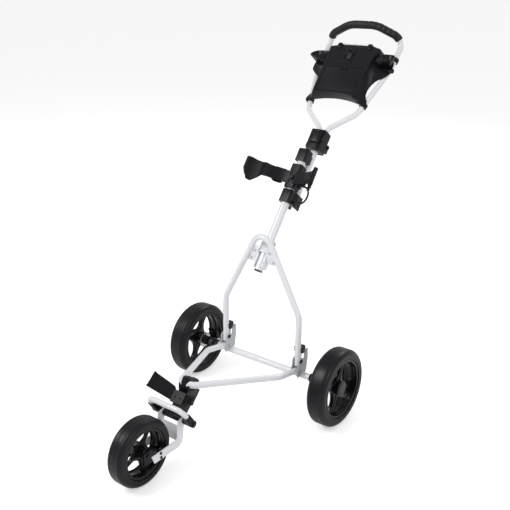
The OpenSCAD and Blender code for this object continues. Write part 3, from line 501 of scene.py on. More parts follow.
def round_tree():
    tree, start, end = new_tree("round_the_axle", [
        ("Geometry", "Geometry"), ("Count", "Int"), ("Finish", "Material")])
    spots = tree.nodes.new("GeometryNodePoints")
    index = tree.nodes.new("GeometryNodeInputIndex")
    share = tree.nodes.new("ShaderNodeMath")
    share.operation = "DIVIDE"
    angle = tree.nodes.new("ShaderNodeMath")
    angle.operation = "MULTIPLY"
    angle.inputs[1].default_value = 2 * pi
    turn = tree.nodes.new("ShaderNodeCombineXYZ")
    copies = tree.nodes.new("GeometryNodeInstanceOnPoints")
    link = tree.links.new
    link(start.outputs["Count"], spots.inputs["Count"])
    link(index.outputs[0], share.inputs[0])
    link(start.outputs["Count"], share.inputs[1])
    link(share.outputs[0], angle.inputs[0])
    link(angle.outputs[0], turn.inputs["X"])
    link(spots.outputs[0], copies.inputs["Points"])
    link(start.outputs["Geometry"], copies.inputs["Instance"])
    link(turn.outputs[0], copies.inputs["Rotation"])
    return end_tree(tree, start, end, copies)

def grown(mesh, tree, **values):
    """The plain mesh that a node tree makes from a starting mesh."""
    holder = new_object("holder", mesh)
    change = holder.modifiers.new("grow", "NODES")
    change.node_group = tree
    for item in tree.interface.items_tree:
        if item.in_out == "INPUT" and item.name in values:
            change[item.identifier] = values[item.name]
    return plain_mesh(holder)

ROUND = round_tree()

# %% Rims
def barrel_profile(outer, width):
    half = width / 2 - 3 * MM
    lip, wall = 8 * MM, 5 * MM
    side = [(half, outer - lip), (half, outer - 1.5 * MM), (half - 1.5 * MM, outer)]
    inner = [(half - 4 * MM, outer - lip), (half - 7 * MM, outer - wall - 0.5 * MM)]
    return ([(half - 1.0 * MM, outer - lip - 0.8 * MM)] + side
            + [(-u, r) for u, r in reversed(side)] + [(1.0 * MM - half, outer - lip - 0.8 * MM)]
            + [(-u, r) for u, r in inner] + list(reversed(inner)))

def rib_mesh(inner, outer, wide, deep, mid):
    rings = []
    for i in range(9):
        s = i / 8
        r = inner + (outer - inner) * s
        half = wide * (0.5 + 0.9 * abs(s - 0.5) ** 1.5)
        top = mid + deep * (1 - 0.35 * sin(pi * s))
        rings.append([(mid - 1 * MM, -half, r), (top - 1 * MM, -half, r), (top, -half * 0.6, r),
                      (top, half * 0.6, r), (top - 1 * MM, half, r), (mid - 1 * MM, half, r)])
    return skin(rings)

def hub_profile(radius, start, end, bore):
    soft = 1.5 * MM
    return [(start, bore), (start, radius - soft), (start + soft, radius), (end - soft, radius),
            (end, radius - soft), (end, bore)]

PLATE_REACH, WINDOW_REACH, WINDOW_SIZE = 1.008, 0.84, 0.62

def add_rim(node, spin, side, seat, width, hub, ends, spokes, first, mid, thick):
    inner = seat - 5 * MM
    reach = WINDOW_REACH * inner
    size = min(reach - hub - 9 * MM, WINDOW_SIZE * inner * 4 / spokes)
    loops = [[(inner * cos(a) * PLATE_REACH, inner * sin(a) * PLATE_REACH) for a in angles(120)]]
    for i in range(spokes):
        turn = first + 2 * pi * (i + 0.5) / spokes
        loops.append(spoke_window(reach, size, inner - 4 * MM, turn))
    plate = plate_mesh(loops, thick, 2.2 * MM)
    plate.transform(Matrix.Translation((mid, 0, 0)))
    face = mid + thick / 2
    rib = rib_mesh(hub * 0.9, inner, 5 * MM, 3.5 * MM, face - 0.5 * MM)
    rib.transform(Matrix.Rotation(first - pi / 2, 4, "X"))
    ribs = grown(rib, ROUND, Count=spokes, Finish=gloss_black)
    collar = turned(hub_profile(hub, ends[0], ends[1], 9.2 * MM), 64)
    barrel = turned(barrel_profile(seat - PLAY, width), 128)
    mesh = joined(barrel, plate, collar, ribs)
    if side < 0:
        mesh = mirrored(mesh)
    piece(node + "_wheel", mesh, body_of[node], "gloss_black", [node],
          Matrix.Translation(pivot(spin)), crease=35)

REAR = dict(seat=REAR_SEAT, width=REAR_WIDTH, hub=22 * MM, ends=(-26 * MM, 20.8 * MM), spokes=4,
            first=radians(-22), mid=4 * MM, thick=14 * MM)
add_rim("left_rim", "left_wheel_spin", -1, **REAR)
add_rim("right_rim", "right_wheel_spin", 1, **REAR)
add_rim("front_rim", "front_wheel_spin", 1, seat=FRONT_SEAT, width=FRONT_WIDTH, hub=17 * MM,
        ends=(-28 * MM, 28 * MM), spokes=5, first=radians(-18), mid=0, thick=12 * MM)

# %% [markdown]
# ## Handle grip
# The foam grip follows the bent top of the handle tube. The path is worked out as a tube
# bender would set it: straight runs, and an arc of a given radius at each corner. The grip's
# rings grow and shrink along it to leave finger grooves under one hand. A bevelled curve would
# follow the path too, but all its sections are round.

# %% A bent path
def bent_path(corners, bends, step=3 * MM):
    corners = [Vector(c) for c in corners]
    path = [corners[0]]
    for i in range(1, len(corners) - 1):
        come = (corners[i] - corners[i - 1]).normalized()
        go = (corners[i + 1] - corners[i]).normalized()
        angle = come.angle(go)
        cut = bends[i] * tan(angle / 2)
        start = corners[i] - come * cut
        inward = (go - come * cos(angle)).normalized()
        middle = start + inward * bends[i]
        count = max(3, int(bends[i] * angle / step))
        for k in range(count + 1):
            a = angle * k / count
            path.append(middle - inward * bends[i] * cos(a) + come * bends[i] * sin(a))
    path.append(corners[-1])
    return path

def respaced(path, step):
    out, carry = [path[0]], 0.0
    for a, b in zip(path, path[1:]):
        run = (b - a).length
        if run < 1e-7:
            continue
        spot = step - carry
        while spot < run:
            out.append(a.lerp(b, spot / run))
            spot += step
        carry = run - (spot - step)
    out.append(path[-1])
    return out

def swept(path, radius, sides=24, up=Vector((0, 1, 0))):
    """Circles along a path; radius is a function of the share along it and of the angle."""
    rings, total = [], len(path) - 1
    for i, spot in enumerate(path):
        ahead = (path[min(i + 1, total)] - path[max(i - 1, 0)]).normalized()
        side = ahead.cross(up).normalized()
        over = side.cross(ahead)
        ring = []
        for a in angles(sides):
            r = radius(i / total, a)
            ring.append(spot + (side * cos(a) + over * sin(a)) * r)
        rings.append(ring)
    return skin(rings)

# %% Grip
GRIP_RISE, GRIP_LEAN, HALF, LENGTH = 67 * MM, 17, 140 * MM, 378 * MM
GRIP_RADIUS, END_ROUND = 13.5 * MM, 1.5 * MM
GROOVES, GROOVE_DEEP, GROOVE_FROM, GROOVE_RUN = 6, 1.6 * MM, 0.08, 0.38

def on_arch(across, rise):
    a = radians(HANDLE_LEAN + GRIP_LEAN)
    return Vector((across, -rise * sin(a), LENGTH + rise * cos(a)))

side_corner = on_arch(126 * MM, 0.47 * GRIP_RISE)
top_bend = Vector((HALF, 0, LENGTH))
grip_foot = top_bend + (side_corner - top_bend).normalized() * 20 * MM
half_route = [grip_foot, side_corner, on_arch(52 * MM, GRIP_RISE)]
route = half_route + [Vector((-p.x, p.y, p.z)) for p in reversed(half_route)]
grip_path = respaced(bent_path(route, [0, 38 * MM, 110 * MM, 110 * MM, 38 * MM, 0]), 2.5 * MM)

def grip_radius(share, angle):
    end = min(share, 1 - share)
    r = GRIP_RADIUS - END_ROUND * max(0, 1 - end / 0.012) ** 2
    if GROOVE_FROM < share < GROOVE_FROM + GROOVE_RUN:
        under = max(0, -sin(angle)) ** 0.7
        wave = 0.5 - 0.5 * cos(2 * pi * (share - GROOVE_FROM) / GROOVE_RUN * GROOVES)
        r -= GROOVE_DEEP * under * wave
    return r

piece("foam_grip", swept(grip_path, grip_radius, 32, Vector((0, 1, 0.2))), "handle", "grip_foam",
      ["handle_grip"], HANDLE, crease=60)

# %% [markdown]
# ## Console
# The console is one moulding of dark plastic: a flat front with a lid let into it, side walls
# that sweep out to the handle tubes, and a curved lower edge. Blocks cut with Booleans would
# give the front but not the sweep. So it is laid out as a grid of points, front and back, whose
# lines frame the lid's opening, and that opening is sunk into a bin.

# %% Outline of the console
LID_HALF, LID_TOP = 72 * MM, 234 * MM
SEAM = 0.4 * MM
FRONT_TOP = 318 * MM
BIN_HALF, BIN_TALL, BIN_DEEP, LEDGE = 65 * MM, 85 * MM, 33 * MM, 3 * MM
SIDE_LINE = [(96, 108), (108, 115), (120, 119), (132, 116), (145, 107), (158, 101.5), (170, 100),
             (184, 101), (198, 105), (210, 111), (221, 121), (231, 136), (239, 147), (250, 152),
             (270, 153), (290, 150), (306, 142), (320, 128), (335, 112), (350, 96)]

def low_edge(x):
    """The curved lower edge, an arc of 309 mm radius."""
    return sqrt((309 * MM) ** 2 - x * x) - 178 * MM

def high_edge(x):
    return 347 * MM - max(0, abs(x) - 60 * MM) * 0.5

def front_half(t):
    return 78 * MM + (t - 116 * MM) * 0.074

def back_half(t):
    """Half of the width at the tubes: feet, a narrow waist and broad wings."""
    tall = t / MM
    k = max(i for i in range(len(SIDE_LINE) - 1) if SIDE_LINE[i][0] <= tall)
    (t0, x0), (t1, x1) = SIDE_LINE[k], SIDE_LINE[k + 1]
    share = (tall - t0) / (t1 - t0)
    return (x0 + (x1 - x0) * share * share * (3 - 2 * share)) * MM

def wall_point(share, t):
    """A point of the side wall: share 0 is the front's edge, 1 is the back's edge."""
    x = front_half(t) + (back_half(t) - front_half(t)) * share ** 1.5
    y = CONSOLE_FRONT + (CONSOLE_BACK - CONSOLE_FRONT) * (1 - (1 - share) ** 1.5)
    return x, y

# %% Console shell
FOOT_ROWS, LID_ROWS, HEAD_ROWS, LID_COLUMNS, WALL_COLUMNS, CROWN_ROWS = 2, 14, 12, 10, 12, 6

def console_rows():
    low, high = LID_FOOT - SEAM, LID_TOP + SEAM
    rows = [low + (high - low) * i / LID_ROWS for i in range(LID_ROWS + 1)]
    return rows + [high + (FRONT_TOP - high) * i / HEAD_ROWS for i in range(1, HEAD_ROWS + 1)]

def console_columns(t):
    half = LID_HALF + SEAM
    flat = [half * i / LID_COLUMNS for i in range(LID_COLUMNS + 1)]
    edge = front_half(t)
    flat += [half + (edge - half) * i / 2 for i in (1, 2)]
    places = [(x, CONSOLE_FRONT) for x in flat]
    return places + [wall_point(i / WALL_COLUMNS, t) for i in range(1, WALL_COLUMNS + 1)]

def console_grid():
    rows, grid = console_rows(), []
    for t, share in ((106 * MM, 0), (120 * MM, 0.5)):
        row = []
        for x, y in console_columns(t):
            low = low_edge(x)
            row.append((x, y, low + (rows[0] - low) * share))
        grid.append(row)
    for t in rows:
        grid.append([(x, y, t) for x, y in console_columns(t)])
    for i in range(1, CROWN_ROWS + 1):
        up, back = sin(pi / 2 * i / CROWN_ROWS), 1 - cos(pi / 2 * i / CROWN_ROWS)
        row = []
        for x, y in console_columns(FRONT_TOP + 24 * MM * up):
            row.append((x, y + (CONSOLE_BACK - y) * back,
                        FRONT_TOP + (high_edge(x) - FRONT_TOP) * up))
        grid.append(row)
    return [[(-x, y, t) for x, y, t in reversed(row[1:])] + row for row in grid]

def console_shell():
    grid = console_grid()
    wide, tall = len(grid[0]), len(grid)
    work = bmesh.new()
    front = [[work.verts.new(p) for p in row] for row in grid]
    back = [[work.verts.new((p[0], CONSOLE_BACK, p[2])) for p in row] for row in grid]
    mid = wide // 2
    left, right = mid - LID_COLUMNS, mid + LID_COLUMNS
    foot, head = FOOT_ROWS, FOOT_ROWS + LID_ROWS
    for i in range(tall - 1):
        for j in range(wide - 1):
            if not (foot <= i < head and left <= j < right):
                work.faces.new((front[i][j], front[i][j + 1], front[i + 1][j + 1],
                                front[i + 1][j]))
            work.faces.new((back[i][j], back[i + 1][j], back[i + 1][j + 1], back[i][j + 1]))
    for row in (0, tall - 1):
        for j in range(wide - 1):
            work.faces.new((front[row][j], front[row][j + 1], back[row][j + 1], back[row][j]))
    rim = [front[foot][j] for j in range(left, right)]
    rim += [front[i][right] for i in range(foot, head)]
    rim += [front[head][j] for j in range(right, left, -1)]
    rim += [front[i][left] for i in range(head, foot, -1)]
    sink_bin(work, rim)
    bmesh.ops.remove_doubles(work, verts=work.verts, dist=WELD)
    bmesh.ops.dissolve_degenerate(work, edges=work.edges, dist=WELD)
    bmesh.ops.recalc_face_normals(work, faces=work.faces)
    outer = [e for e in hard_edges(work, 42) if not in_bin(e)]
    bmesh.ops.bevel(work, geom=outer, offset=2.0 * MM, segments=3, profile=0.5,
                    affect="EDGES", clamp_overlap=True)
    return to_mesh(work, "console")

def in_bin(edge):
    return all(abs(v.co.x) < LID_HALF + 2 * SEAM and LID_FOOT - 2 * SEAM < v.co.z
               < LID_TOP + 2 * SEAM and v.co.y < CONSOLE_FRONT + BIN_DEEP + MM for v in edge.verts)

def sink_bin(work, rim):
    """Drops the opening's rim to a ledge, and the ledge's inner edge to the bin's floor."""
    middle = (LID_FOOT + LID_TOP) / 2
    in_x = BIN_HALF / (LID_HALF + SEAM)
    in_z = BIN_TALL / (LID_TOP - LID_FOOT + 2 * SEAM)
    ring = rim
    for across, along, depth in ((1, 1, LEDGE), (in_x, in_z, LEDGE), (in_x, in_z, BIN_DEEP)):
        down = [work.verts.new((v.co.x * across, CONSOLE_FRONT + depth,
                                middle + (v.co.z - middle) * along)) for v in rim]
        for k in range(len(ring)):
            n = (k + 1) % len(ring)
            work.faces.new((ring[k], ring[n], down[n], down[k]))
        ring = down
    work.faces.new(ring)

# %% [markdown]
# ## Cups
# Two small cones at the console's upper corners hold a ball or tees. Each stands in a wing of
# plastic. The wing is the convex hull of the cone and a strip of the console's side, and the
# hollow is cut out of it with a Boolean modifier.

# %% Cups
CUP_PLACE = Vector((137 * MM, -44 * MM, 290 * MM))
CUP_TURN = radians(HANDLE_LEAN + 15)
CUP_DEEP, CUP_RADIUS = 36 * MM, 23.5 * MM

def cone_rings(rings, steps=64):
    """Rings of (height, radius) along the cup's own upright axis."""
    place = Matrix.Translation(CUP_PLACE) @ Matrix.Rotation(CUP_TURN, 4, "X")
    return [[place @ Vector((r * cos(a), r * sin(a), h)) for a in angles(steps)] for h, r in rings]

def applied(mesh, kind, **settings):
    """The mesh that one modifier makes from another."""
    holder = new_object("holder", mesh)
    change = holder.modifiers.new("change", kind)
    for key, value in settings.items():
        setattr(change, key, value)
    return plain_mesh(holder)

def cup_wing():
    work = bmesh.new()
    for ring in cone_rings([(-CUP_DEEP, 6 * MM), (-1.5 * MM, CUP_RADIUS + 2 * MM),
                            (0, CUP_RADIUS + 1 * MM)]):
        for p in ring:
            work.verts.new(p)
    for x in (92 * MM, 98 * MM):
        for y, low, high in ((-40 * MM, 268, 306), (-14 * MM, 262, 318)):
            for t in (low * MM, high * MM):
                work.verts.new((x, y, t))
    hull = bmesh.ops.convex_hull(work, input=work.verts)
    bmesh.ops.delete(work, geom=hull["geom_interior"], context="VERTS")
    solid = outward(to_mesh(work, "wing"))
    hollow = new_object("hollow", skin(cone_rings(
        [(3 * MM - CUP_DEEP, 3 * MM), (4.5 * MM - CUP_DEEP, 4.6 * MM),
         (-1 * MM, CUP_RADIUS - 1 * MM), (0.3 * MM, CUP_RADIUS), (8 * MM, CUP_RADIUS)])))
    mesh = applied(solid, "BOOLEAN", object=hollow, operation="DIFFERENCE", solver="EXACT")
    bpy.data.objects.remove(hollow)
    return mesh

# %% [markdown]
# ## Clips, ears and bosses
# The console is held by rings that clip round the handle's tubes, and carries two ears for the
# card's wire and some small bosses. They are all turned rings and rounded blocks, which need
# only two helpers and stay easy to move.

# %% Tube clips, ears and posts
CLIP_INNER, CLIP_OUTER, CLIP_TALL = 9.1 * MM, 13 * MM, 16 * MM
CLIP_LOW, CLIP_HIGH = 121 * MM, 312 * MM
TUBE_FOOT, TUBE_BEND = (96 * MM, 86 * MM), (140 * MM, 270 * MM)

def ring_clip(place, lean):
    soft, inner, outer = 1.2 * MM, CLIP_INNER, CLIP_OUTER
    half = CLIP_TALL / 2
    profile = [(-half, inner), (-half, outer - soft), (-half + soft, outer), (half - soft, outer),
               (half, outer - soft), (half, inner)]
    mesh = turned(profile, 48)
    mesh.transform(Matrix.Translation(place) @ Matrix.Rotation(lean, 4, "Y")
                   @ Matrix.Rotation(-pi / 2, 4, "Y"))
    return mesh

def rounded_block(low, high, soft, segments=3):
    work = bmesh.new()
    size = Vector(high) - Vector(low)
    bmesh.ops.create_cube(work, size=1)
    work.transform(Matrix.Translation((Vector(low) + Vector(high)) / 2)
                   @ Matrix.Diagonal((*size, 1)))
    bmesh.ops.bevel(work, geom=work.edges, offset=soft, segments=segments, profile=0.5,
                    affect="EDGES", clamp_overlap=True)
    return to_mesh(work, "block")

EAR_X, WIRE_T = 58 * MM, 331 * MM

def ear():
    low = (EAR_X - 9 * MM, CONSOLE_FRONT - 5 * MM, WIRE_T - 19 * MM)
    high = (EAR_X + 9 * MM, CONSOLE_FRONT + 14 * MM, WIRE_T + 4 * MM)
    return rounded_block(low, high, 5 * MM, 4)

def lower_clip():
    lean = atan2(TUBE_BEND[0] - TUBE_FOOT[0], TUBE_BEND[1] - TUBE_FOOT[1])
    x = TUBE_FOOT[0] + (CLIP_LOW - TUBE_FOOT[1]) * tan(lean)
    ring = ring_clip(Vector((x, 0, CLIP_LOW)), lean)
    lug = rounded_block((x - 8 * MM, -16 * MM, 115 * MM), (x + 8 * MM, -10 * MM, 127 * MM), 2 * MM)
    return joined(ring, lug)

def upper_clip():
    ring = ring_clip(Vector((HALF, 0, CLIP_HIGH)), 0)
    arm = rounded_block((118 * MM, -17 * MM, 304 * MM), (146 * MM, -10 * MM, 317 * MM), 2 * MM)
    return joined(ring, arm)

def wing_knob():
    return rounded_block((148 * MM, -26 * MM, 248 * MM), (166 * MM, -13 * MM, 262 * MM), 4 * MM, 4)

def clip_post():
    low = (8 * MM, CONSOLE_FRONT - 5 * MM, 281 * MM)
    return rounded_block(low, (11 * MM, CONSOLE_FRONT + 1 * MM, 293 * MM), 0.8 * MM)

def stud(x, t, radius, tall, soft=1.2 * MM):
    """A round boss that stands on the console's front."""
    mesh = turned([(1 * MM, 0.1 * MM), (1 * MM, radius), (soft - tall, radius),
                   (-tall, radius - soft), (-tall, 0.1 * MM)], 40)
    mesh.transform(Matrix.Translation((x, CONSOLE_FRONT, t)) @ Matrix.Rotation(pi / 2, 4, "Z"))
    return mesh

# %% Console
side_parts = [cup_wing(), lower_clip(), upper_clip(), ear(), clip_post()]
STUDS = ((-17, 277, 10, 3.5), (-17, 277, 5.5, 6.5), (-10, 305, 6.5, 5), (2, 255, 5, 3))
bosses = [stud(*[v * MM for v in row]) for row in STUDS]
bosses.append(rounded_block((-29 * MM, CONSOLE_FRONT - 1.8 * MM, 250 * MM),
                            (15 * MM, CONSOLE_FRONT + 1 * MM, 315 * MM), 1.2 * MM))
console = joined(console_shell(), *side_parts, *[mirrored(m) for m in side_parts], *bosses,
                 wing_knob())
piece("console_body", console, "handle", "black_plastic", ["console_tray", "console_cover"],
      HANDLE, crease=45)

# %% [markdown]
# ## Wire and lid
# A thin steel wire runs between the ears, and the lid closes the bin. They could be part of the
# console's mesh, but the wire has another finish and the lid swings, so each is its own piece.
# A narrow seam is left round the lid, and its round knuckle lies on the joint's axis.

# %% Wire and lid
def wire_bar():
    y = CONSOLE_FRONT - 1.5 * MM
    path = [Vector((EAR_X * i / 10, y, WIRE_T)) for i in range(-10, 11)]
    return swept(path, lambda share, a: 0.95 * MM, 12, Vector((0, 1, 0)))

piece("card_wire_bar", wire_bar(), "handle", "bright_steel", ["card_wire"], HANDLE)

def lid_panel():
    y = CONSOLE_FRONT
    panel = rounded_block((-LID_HALF + SEAM, y + 0.2 * MM, LID_FOOT + 1.5 * MM),
                          (LID_HALF - SEAM, y + 2.8 * MM, LID_TOP - SEAM), 0.9 * MM)
    lip = rounded_block((-14 * MM, y - 2.4 * MM, 226 * MM), (14 * MM, y + 1 * MM, 231 * MM),
                        1.2 * MM)
    end, bore, radius = 76 * MM, 0.2 * MM, 1.45 * MM
    knuckle = turned([(-end, bore), (-end, radius), (end, radius), (end, bore)], 20)
    knuckle.transform(Matrix.Translation(LID_HINGE))
    return joined(panel, lip, knuckle)

piece("lid_panel", lid_panel(), "lid", "black_plastic", ["console_lid"], HANDLE)

# %% [markdown]
# ## Upper bag cradle
# Two curved arms reach round the bag. Each arm is a strip of points given by an angle round the
# bag and a height along the shaft. Its outline widens into a paddle with cut corners, and ribs
# stand on its outer face. A Simple Deform modifier could bend flat plates, but here the radius
# changes on the way round, so each outline is laid straight on the bag's circle and skinned.

# %% Curved plates
BAG = 128 * MM
TUBE_RADIUS, BAND_THICK, SEAT_PLAY = 14 * MM, 7.6 * MM, 0.3 * MM
BAG_AXIS = -(BAG + TUBE_RADIUS + BAND_THICK + SEAT_PLAY)

def round_bag(angle, radius, height):
    """A point round the bag: angle 0 is the shaft's side, positive angles go to +X."""
    return (radius * sin(angle), BAG_AXIS + radius * cos(angle), height)

def curved_plate(stations, soft=1.2 * MM):
    """stations: (angle, inner radius, outer radius, low, high), in degrees and millimetres."""
    rings = []
    for angle, r0, r1, low, high in stations:
        a, lift = radians(angle), soft / MM
        outline = [(r0, low + lift), (r0, high - lift), (r0 + lift, high), (r1 - lift, high),
                   (r1, high - lift), (r1, low + lift), (r1 - lift, low), (r0 + lift, low)]
        rings.append([round_bag(a, r * MM, h * MM) for r, h in outline])
    return skin(rings)

def between(first, last, count):
    return [first + (last - first) * i / (count - 1) for i in range(count)]

def blended(keys, count):
    """Evenly spaced stations, blended straight between a short list of key stations."""
    out = []
    for a in between(keys[0][0], keys[-1][0], count):
        k = max(i for i in range(len(keys) - 1) if keys[i][0] <= a + 1e-9)
        share = (a - keys[k][0]) / (keys[k + 1][0] - keys[k][0])
        out.append((a, *[p + (q - p) * share for p, q in zip(keys[k][1:], keys[k + 1][1:])]))
    return out

# %% Cradle arm
ARM_BAND = [(3, 128, 135.6, 300, 342), (36, 128, 135.6, 300, 342), (44, 128.2, 136, 297, 343),
            (48, 130.8, 139.2, 284, 340), (56, 131, 139.6, 264, 338),
            (63, 131, 139.6, 264, 338), (68, 131, 139.6, 282, 337)]
ARM_TIP = [(67, 130.6, 143.4, 278, 337), (69, 130.6, 143.6, 286, 336), (71.5, 131, 142, 294, 335)]
ARM_PAD = [(14, 134.6, 139.6, 296, 346), (18, 134.6, 140, 294, 346),
           (27, 134.6, 139.8, 295, 346), (29, 134.6, 138.6, 298, 344)]

def arm_rib(first, last, inner, outer, low, tall, count):
    keys = [(a, inner, outer, low, low + tall) for a in (first, last)]
    return curved_plate(blended(keys, count), 0.9 * MM)

def cradle_arm():
    parts = [curved_plate(blended(ARM_BAND, 60)), curved_plate(blended(ARM_TIP, 5), 1.6 * MM),
             curved_plate(blended(ARM_PAD, 12), 1.5 * MM)]
    parts += [arm_rib(5, 46, 134.6, 138.2, low, 3.4, 28) for low in (304, 312, 327, 335)]
    parts += [arm_rib(57, 67, 138.8, 141.6, low, 4, 8) for low in (276, 290, 304, 318)]
    return joined(*parts)

def cradle_sleeve():
    """The square sleeve on the lower tube."""
    outline = []
    for cx, cy, start in ((13, 12, 0), (-13, 12, 90), (-13, -14, 180), (13, -14, 270)):
        for i in range(7):
            a = radians(start + 15 * i)
            outline.append(((cx + 7 * cos(a)) * MM, (cy + 7 * sin(a)) * MM))
    rings = []
    for height, scale in ((286, 0.93), (288, 1), (368, 1), (370, 0.93)):
        rings.append([(x * scale, y * scale, height * MM) for x, y in outline])
    return skin(rings)

# %% [markdown]
# ## Knob, boss and the whole cradle
# A round knob sits in the cradle's middle, and a boss beside the tube holds the strap. Both
# could be pieces of their own, but the cradle is one moulding, so they join its arms and sleeve.

# %% Cradle with its sleeve
def knob_plate():
    """A round knob at the middle of the cradle."""
    mesh = turned([(2 * MM, 0.1 * MM), (2 * MM, 9 * MM), (-4 * MM, 8.4 * MM), (-5.5 * MM, 7 * MM),
                   (-5.5 * MM, 0.1 * MM)], 40)
    place = Matrix.Translation((0, BAG_AXIS + BAG, 321 * MM))
    mesh.transform(place @ Matrix.Rotation(pi / 2, 4, "Z"))
    return mesh

def strap_boss():
    low = (12 * MM, 2 * MM, 296 * MM)
    return rounded_block(low, (25 * MM, 18 * MM, 316 * MM), 2.5 * MM)

arm = cradle_arm()
cradle = joined(arm, mirrored(arm), cradle_sleeve(), strap_boss(), knob_plate())
piece("cradle_arms", cradle, "upright", "black_plastic", ["upper_cradle"], SHAFT, crease=35)

# %% [markdown]
# ## Elastic strap
# The strap is a loop of round elastic. Its centre line is a smooth curve through a few points,
# fixed to the cradle's boss at one end and to the collar at the other. A cloth or rope
# simulation would let it hang, but the elastic is under tension and keeps its shape.

# %% Strap
def smooth_curve(points, step):
    """A Catmull-Rom curve through the points, sampled step times between each pair."""
    points = [Vector(p) * MM for p in points]
    ends = [2 * points[0] - points[1]] + points + [2 * points[-1] - points[-2]]
    path = []
    for a, b, c, d in zip(ends, ends[1:], ends[2:], ends[3:]):
        for i in range(step):
            u = i / step
            path.append(0.5 * (2 * b + u * (c - a) + u * u * (2 * a - 5 * b + 4 * c - d)
                               + u ** 3 * (3 * b - a - 3 * c + d)))
    return path + [points[-1]]

STRAP_Y = 9
STRAP_LINE = [(19, 305), (36, 307), (54, 301), (63, 284), (62, 263), (51, 249), (36, 246),
              (20.6, 247)]
loop = smooth_curve([(x, STRAP_Y, t) for x, t in STRAP_LINE], 8)
strap = swept(loop, lambda share, a: (3.1 + 0.12 * cos(2 * a)) * MM, 20, Vector((0, 1, 0)))
piece("strap_loop", strap, "upright", "strap_elastic", ["upper_strap"], SHAFT)

# %% [markdown]
# ## Screws
# A screw head is a low dome with a hexagonal recess. One mesh is made, and a node tree puts a
# copy on every point of a small mesh of places, so four screws cost four points.

# %% Screw head
def hex_head(radius, tall, across):
    """A screw head along +Z with a hexagonal recess."""
    def ring(r, h, hexed=False):
        row = []
        for a in angles(36):
            reach = r / cos((a + pi / 6) % (pi / 3) - pi / 6) if hexed else r
            row.append((reach * cos(a), reach * sin(a), h))
        return row
    return skin([ring(radius, -1 * MM), ring(radius, tall * 0.45), ring(radius * 0.93, tall * 0.8),
                 ring(radius * 0.8, tall), ring(across, tall, True), ring(across, tall * 0.2, True)])

# %% A tree that puts a part on points
def points_tree():
    tree, start, end = new_tree("part_on_points", [
        ("Geometry", "Geometry"), ("Part", "Object"), ("Turn", "Vector"), ("Finish", "Material")])
    info = tree.nodes.new("GeometryNodeObjectInfo")
    spots = tree.nodes.new("GeometryNodeMeshToPoints")
    copies = tree.nodes.new("GeometryNodeInstanceOnPoints")
    link = tree.links.new
    link(start.outputs["Part"], info.inputs["Object"])
    link(start.outputs["Geometry"], spots.inputs[0])
    link(spots.outputs[0], copies.inputs["Points"])
    link(info.outputs["Geometry"], copies.inputs["Instance"])
    link(start.outputs["Turn"], copies.inputs["Rotation"])
    return end_tree(tree, start, end, copies)

ON_POINTS = points_tree()

def screws(places, head, turn, paint):
    spots = bpy.data.meshes.new("places")
    spots.from_pydata([Vector(p) * MM for p in places], [], [])
    model = new_object("model", head)
    made = grown(spots, ON_POINTS, Part=model, Turn=turn, Finish=paint)
    bpy.data.objects.remove(model)
    return made

# %% Cradle screws
places = [(x, -21.9, t) for t in (308, 334) for x in (-10, 10)]
heads = screws(places, hex_head(4.4 * MM, 2.2 * MM, 2.1 * MM), (pi / 2, 0, 0), black_screw)
piece("cradle_screw_heads", heads, "upright", "black_screw", ["cradle_screws"], SHAFT, crease=30)

# %% [markdown]
# ## Release knobs
# Each rear wheel comes off when a round knob behind its hub is pulled. The knob has twelve
# flutes for the fingers. They could be cut with cylinders, but a cosine that lowers the rim
# while each ring is laid out needs no cut.

# %% Release knobs
FLUTES, FLUTE_DEEP = 12, 1.4 * MM
SLEEVE_BORE = 11.2 * MM

def fluted_knob(inner, outer, radius):
    """A knob along X with flutes round its rim."""
    def ring(u, r, cut):
        row = []
        for a in angles(72):
            reach = r - cut * max(0, cos(FLUTES * a)) ** 2
            row.append((u, reach * cos(a), reach * sin(a)))
        return row
    soft = 1.6 * MM
    along = (inner + soft, (inner + outer) / 2, outer - soft)
    rim = [ring(u, radius, FLUTE_DEEP) for u in along]
    return skin([ring(inner, radius - soft, 0), *rim, ring(outer, radius - soft, 0)])

def axle_sleeve(inner, outer, radius):
    soft = 1 * MM
    return turned([(inner, SLEEVE_BORE), (inner, radius - soft), (inner + soft, radius),
                   (outer - soft, radius), (outer, radius - soft), (outer, SLEEVE_BORE)], 64)

for side, node in ((1, "right_release"), (-1, "left_release")):
    low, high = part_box(node)
    middle = (low + high) / 2
    near, far = sorted((abs(low.x), abs(high.x)))
    knob = joined(fluted_knob(near - 42 * MM, near - 18 * MM, 14.5 * MM),
                  axle_sleeve(near - 20 * MM, far - 0.5 * MM, 13 * MM))
    if side < 0:
        knob = mirrored(knob)
    knob.transform(Matrix.Translation((0, middle.y, middle.z)))
    piece(node + "_knob", knob, body_of[node], "black_plastic", [node], crease=50)

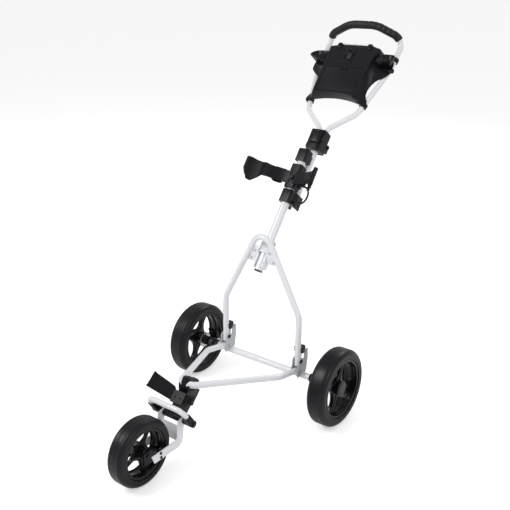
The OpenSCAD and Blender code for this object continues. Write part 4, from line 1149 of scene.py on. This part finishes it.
# %% [markdown]
# ## Clamp lever
# The clamp is locked by a broad lever with a smooth, slightly bulged face. The bulge is a
# rounded block whose front points are pushed out along a parabola across its width. A Lattice
# would bend it too, but a parabola says in one line how far each point moves.

# %% Clamp lever
def bulged(mesh, half, mid, tall, swell, front):
    """Push the points near the front plane out, most in the middle."""
    for v in mesh.vertices:
        if v.co.y < front + 4 * MM:
            across = max(0, 1 - (v.co.x / half) ** 2)
            along = max(0, 1 - ((v.co.z - mid) / tall) ** 2)
            v.co.y -= swell * across * along
    return mesh

def fine_block(low, high, soft, cuts):
    """A rounded block whose large faces are divided, so that they can be bent."""
    work = bmesh.new()
    work.from_mesh(rounded_block(low, high, soft, 3))
    long_edges = [e for e in work.edges if e.calc_length() > 4 * soft]
    bmesh.ops.subdivide_edges(work, edges=long_edges, cuts=cuts, use_grid_fill=True)
    return to_mesh(work, "fine_block")

CLAMP_HALF, LEVER_FRONT = 21 * MM, 13 * MM
face_plate = fine_block((-CLAMP_HALF, LEVER_FRONT, 468 * MM), (CLAMP_HALF, 22 * MM, 516 * MM),
                        3 * MM, 8)
face_plate = bulged(face_plate, CLAMP_HALF, 490 * MM, 34 * MM, 3.5 * MM, LEVER_FRONT)
thumb_rib = rounded_block((-15 * MM, 10.5 * MM, 508 * MM), (15 * MM, 16 * MM, 511.5 * MM),
                          1.2 * MM)
piece("clamp_face", joined(face_plate, thumb_rib), body_of["clamp_lever"], "black_plastic",
      ["clamp_lever"], SHAFT, crease=50)

# %% [markdown]
# ## Apron under the lever
# The clamp's front goes on below the lever as a fixed apron. It could be one block with the
# lever, but that block would then pass through the clamp whenever the lever swings out. So the
# apron is a piece of its own and stays with the clamp.

# %% Apron under the lever
APRON_FRONT = 11.8 * MM
apron = fine_block((-CLAMP_HALF, APRON_FRONT, 447.5 * MM), (CLAMP_HALF, 23.6 * MM, 466.6 * MM),
                   2.5 * MM, 6)
apron = bulged(apron, CLAMP_HALF, 460 * MM, 30 * MM, 1.2 * MM, APRON_FRONT)
piece("clamp_apron", apron, body_of["clamp_yoke"], "black_plastic", place=SHAFT, crease=50)
